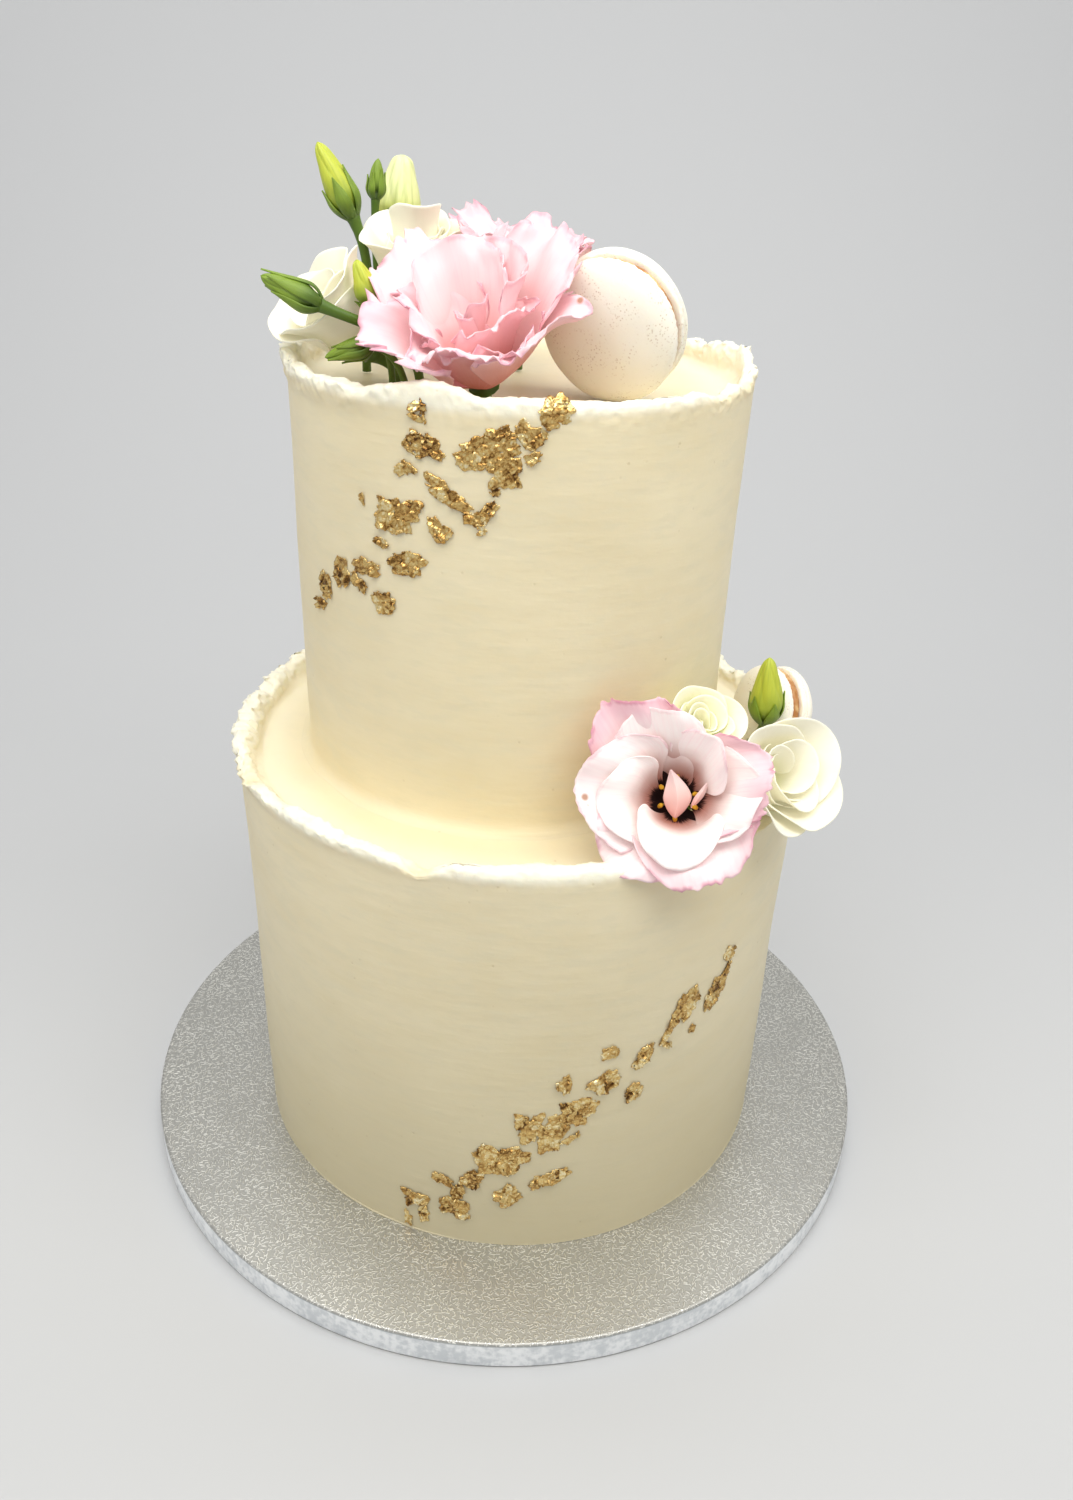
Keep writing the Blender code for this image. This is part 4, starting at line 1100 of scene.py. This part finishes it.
def finish_bud(name, settings, bud, number):
    """A bud's furled petals, its five sepals and its stem."""
    tip, base, width, stem_to, foot_colour, tip_colour, blunt, leafy = bud
    tip, base = Vector(tip), Vector(base)
    length, radius = (tip - base).length, width / 2
    place = Matrix.Translation(base * MM) @ (tip - base).to_track_quat("Z", "Y").to_matrix().to_4x4()
    green, leaf = settings.green, settings.leaf
    body = bmesh.new()
    surface = partial(bud_point, length=length, radius=radius, blunt=blunt)
    add_sheet(body, BUD_CELLS, surface, place, 0)
    bmesh.ops.remove_doubles(body, verts=body.verts, dist=0.02 * MM)
    bmesh.ops.holes_fill(body, edges=[edge for edge in body.edges if edge.is_boundary])
    bmesh.ops.recalc_face_normals(body, faces=body.faces)
    leaves = bmesh.new()
    for turn in range(SEPALS):
        spot = place @ Matrix.Rotation(math.radians(360 / SEPALS * turn + 20 + 9 * number), 4, "Z")
        share = leafy * (0.8 + 0.14 * ((turn * 7 + number) % 3))
        surface = partial(sepal_point, length=length, radius=radius, share=share)
        add_sheet(leaves, SEPAL_CELLS, surface, spot, 0)
    stem = bmesh.new()
    down = (base - tip).normalized()
    route = stem_route(base + down * -1.4, down, stem_to, 18)
    thick = 1.5 if width > 8 else 1.1
    add_tube(stem, route, [(thick + 0.3 * radius * math.exp(-step * 0.9)) * MM for step in range(18)])
    skin = leaf_material(name + "_skin", getattr(settings, foot_colour), getattr(settings, tip_colour), leaf)
    sepal = leaf_material(name + "_sepal", green, leaf, green)
    stalk = leaf_material(name + "_stalk", green, green, leaf)
    finish_piece(name + "_furled", body, [skin], [name])
    thicken(finish_piece(name + "_sepals", leaves, [sepal], [name]), SEPAL_THICKNESS)
    finish_piece(name + "_stem", stem, [stalk], [name])


class CAKE_OT_buds(bpy.types.Operator):
    """Make the lisianthus buds"""
    bl_idname = "cake.buds"
    bl_label = "Buds"

    def execute(self, context):
        for number, (name, bud) in enumerate(BUDS.items()):
            finish_bud(name, context.scene.cake_flowers, bud, number)
        return {"FINISHED"}


# Macarons

def shell_material(look):
    """A dry pale crust with faint brown freckles."""
    material, place = start_material("macaron_shell")
    wide = place.noise(55.0, 3.0)
    freckle = place.make("TexVoronoi", {"feature": "F1"}, {"Vector": place, "Scale": 1100.0})
    dots = (1 - freckle.step(0.12, 0.4)) * place.noise(150.0, 3.0).step(0.42, 0.66)
    colour = (dots * 0.42).mix(wide.mix(look.shell, linear(252, 244, 226)), linear(176, 140, 104))
    relief = (place.noise(900.0, 3.0) * 0.6 + wide * 1.4 - dots * 0.3).bump(0.25 * MM, 0.5)
    return finish_material(material, colour, 0.55 + 0.15 * wide, relief, soft(0.12, (1.0, 0.7, 0.4), 2))


def filling_material(look):
    material, place = start_material("caramel_filling")
    lumps = place.noise(180.0, 3.0)
    colour = lumps.step(0.4, 0.62).mix(look.filling, linear(222, 184, 130))
    return finish_material(material, colour, 0.35 + 0.2 * lumps, lumps.bump(0.6 * MM, 0.6))


def shell_body(radius, look, seed):
    """A macaron shell, dome up over its ruffled foot, standing on the filling."""
    height = look.height / MM
    foot = look.gap / MM / 2 + 0.3
    outline = smooth_outline([(reach * radius * MM, (foot + z * height) * MM, fine)
                              for reach, z, fine in SHELL_OUTLINE], SHELL_SPACING)
    body = turned_solid(outline, look.steps)
    for point in body.verts:
        x, y, z = point.co
        reach = math.hypot(x, y) / (radius * MM)
        level = (z / MM - foot) / height
        spot = (x, y, z)
        if reach > 0.9 and level < 0.24:
            push = 1 + 0.018 * rough(spot, 1.6 * MM, seed) + 0.014 * rough(spot, 0.8 * MM, seed + 1)
            point.co.x *= push
            point.co.y *= push
        elif level > 0.2:
            point.co += point.co.normalized() * 0.35 * MM * rough(spot, 11 * MM, seed + 2)
    return body


def filling_body(radius, look, seed):
    """The filling between two shells, uneven round its edge."""
    half, reach = look.gap / 2, radius * 0.93 * MM
    edge = [(0.0, half, 3), (reach * 0.94, half, 1), (reach, half * 0.5, 1), (reach * 0.99, -half * 0.5, 1),
            (reach * 0.95, -half, 3), (0.0, -half, 1)]
    body = turned_solid(smooth_outline(edge, FILLING_SPACING), look.steps)
    for point in body.verts:
        if math.hypot(point.co.x, point.co.y) > reach * 0.85:
            push = 1 + 0.012 * rough(point.co, 2.4 * MM, seed)
            point.co.x *= push
            point.co.y *= push
    return body


class CAKE_OT_macarons(bpy.types.Operator):
    """Make the macarons: two shells and a filling each"""
    bl_idname = "cake.macarons"
    bl_label = "Macarons"

    def execute(self, context):
        look = context.scene.cake_macarons
        crust, caramel = shell_material(look), filling_material(look)
        over = Matrix.Rotation(math.pi, 4, "X")
        for number, (name, (radius, centre, towards, rise)) in enumerate(MACARONS.items()):
            place = leaning(centre, towards, 90 - rise)
            for side, spot, seed in (("_front", place, 3 + number), ("_back", place @ over, 13 + number)):
                shell = shell_body(radius, look, seed)
                shell.transform(spot)
                node = name + side + "_shell"
                finish_piece(name + side + "_crust", shell, [crust], [node])
            filling = filling_body(radius, look, number)
            filling.transform(place)
            finish_piece(name + "_caramel", filling, [caramel], [name + "_filling"])
        return {"FINISHED"}


# Stage

def add_light(name, place, target, size, power, colour=(1, 1, 1)):
    """A soft light of a width and a height, in metres, aimed at a target."""
    light = bpy.data.lights.new(name, "AREA")
    light.shape = "RECTANGLE"
    light.size, light.size_y = size
    light.energy = power
    light.color = colour
    holder = bpy.data.objects.new(name, light)
    bpy.context.scene.collection.objects.link(holder)
    aim = (Vector(target) - Vector(place)).to_track_quat("-Z", "Y").to_matrix().to_4x4()
    holder.matrix_world = Matrix.Translation(place) @ aim


def floor_piece(stage):
    """A pale floor that curves up into a backdrop."""
    body = bmesh.new()
    bend, back, front, wide, tall = 0.7, 1.0, -1.8, 2.4, 2.4
    profile = [(front, 0.0), (back - bend, 0.0)]
    profile += [(back - bend + bend * math.sin(turn), bend - bend * math.cos(turn))
                for turn in quarter(16)[1:]]
    profile.append((back, tall))
    points = [body.verts.new((-wide, y, z)) for y, z in profile]
    edges = [body.edges.new(pair) for pair in zip(points, points[1:])]
    made = bmesh.ops.extrude_edge_only(body, edges=edges)["geom"]
    moved = [item for item in made if isinstance(item, bmesh.types.BMVert)]
    bmesh.ops.translate(body, verts=moved, vec=(2 * wide, 0, 0))
    bmesh.ops.recalc_face_normals(body, faces=body.faces)
    mesh = bpy.data.meshes.new("studio_floor")
    body.to_mesh(mesh)
    body.free()
    mesh.shade_smooth()
    material = start_material("studio_floor")[0]
    mesh.materials.append(finish_material(material, (*stage.floor, 1.0), 0.6))
    floor = bpy.data.objects.new("studio_floor", mesh)
    bpy.context.scene.collection.objects.link(floor)


class CAKE_OT_stage(bpy.types.Operator):
    """Set the floor, the light and the camera"""
    bl_idname = "cake.stage"
    bl_label = "Stage"

    def execute(self, context):
        scene, stage = context.scene, context.scene.cake_stage
        floor_piece(stage)
        add_light("overhead", (0.03, -0.32, 0.85), (0, -0.05, 0.24), (1.3, 0.4), 6.4, (1.0, 0.985, 0.94))
        add_light("front", (0.1, -1.5, 0.9), (0, 0, 0.3), (1.2, 1.0), 0.35, (1.0, 0.99, 0.96))
        add_light("backdrop", (0.0, 0.5, 1.6), (0, 1.0, 0.7), (1.8, 0.4), 8.3)
        world = bpy.data.worlds.new("studio")
        world.use_nodes = True
        sky = world.node_tree.nodes["Background"].inputs
        sky["Color"].default_value = (0.95, 0.95, 0.955, 1.0)
        sky["Strength"].default_value = 0.6
        scene.world = world
        scene.view_settings.view_transform = "Standard"
        lens = bpy.data.cameras.new("camera")
        lens.sensor_fit = "VERTICAL"
        lens.sensor_height = 24.0
        lens.lens = stage.focal * lens.sensor_height
        lens.clip_start = 0.01
        holder = bpy.data.objects.new("camera", lens)
        scene.collection.objects.link(holder)
        turn = (Matrix.Rotation(-stage.yaw, 4, "Z") @ Matrix.Rotation(math.pi / 2 - stage.pitch, 4, "X")
                @ Matrix.Rotation(stage.roll, 4, "Z"))
        holder.matrix_world = Matrix.Translation((0, -stage.distance, stage.height)) @ turn
        scene.camera = holder
        return {"FINISHED"}


class CAKE_PT_panel(bpy.types.Panel):
    """The cake's pieces and their settings"""
    bl_idname = "CAKE_PT_panel"
    bl_label = "Two-tier flower cake"
    bl_space_type = "VIEW_3D"
    bl_region_type = "UI"
    bl_category = "Cake"

    def draw(self, context):
        for operator in OPERATORS:
            self.layout.operator(operator.bl_idname)
        for name, group in SETTINGS.items():
            box = self.layout.box()
            for item in group.__annotations__:
                box.prop(getattr(context.scene, name), item)


OPERATORS = (CAKE_OT_board, CAKE_OT_lower_tier, CAKE_OT_upper_tier, CAKE_OT_gold, CAKE_OT_flowers,
             CAKE_OT_buds, CAKE_OT_macarons, CAKE_OT_stage)
SETTINGS = {"cake_board": BoardSettings, "cake_icing": IcingSettings, "cake_flowers": FlowerSettings,
            "cake_macarons": MacaronSettings, "cake_stage": StageSettings}


def register():
    for group in SETTINGS.values():
        bpy.utils.register_class(group)
    for name, group in SETTINGS.items():
        setattr(bpy.types.Scene, name, PointerProperty(type=group))
    for item in (*OPERATORS, CAKE_PT_panel):
        bpy.utils.register_class(item)


def unregister():
    for item in (CAKE_PT_panel, *reversed(OPERATORS)):
        bpy.utils.unregister_class(item)
    for name in SETTINGS:
        delattr(bpy.types.Scene, name)
    for group in SETTINGS.values():
        bpy.utils.unregister_class(group)


def main():
    register()
    for operator in OPERATORS:
        family, name = operator.bl_idname.split(".")
        getattr(getattr(bpy.ops, family), name)()
    bpy.context.view_layer.update()


if __name__ == "__main__":
    main()
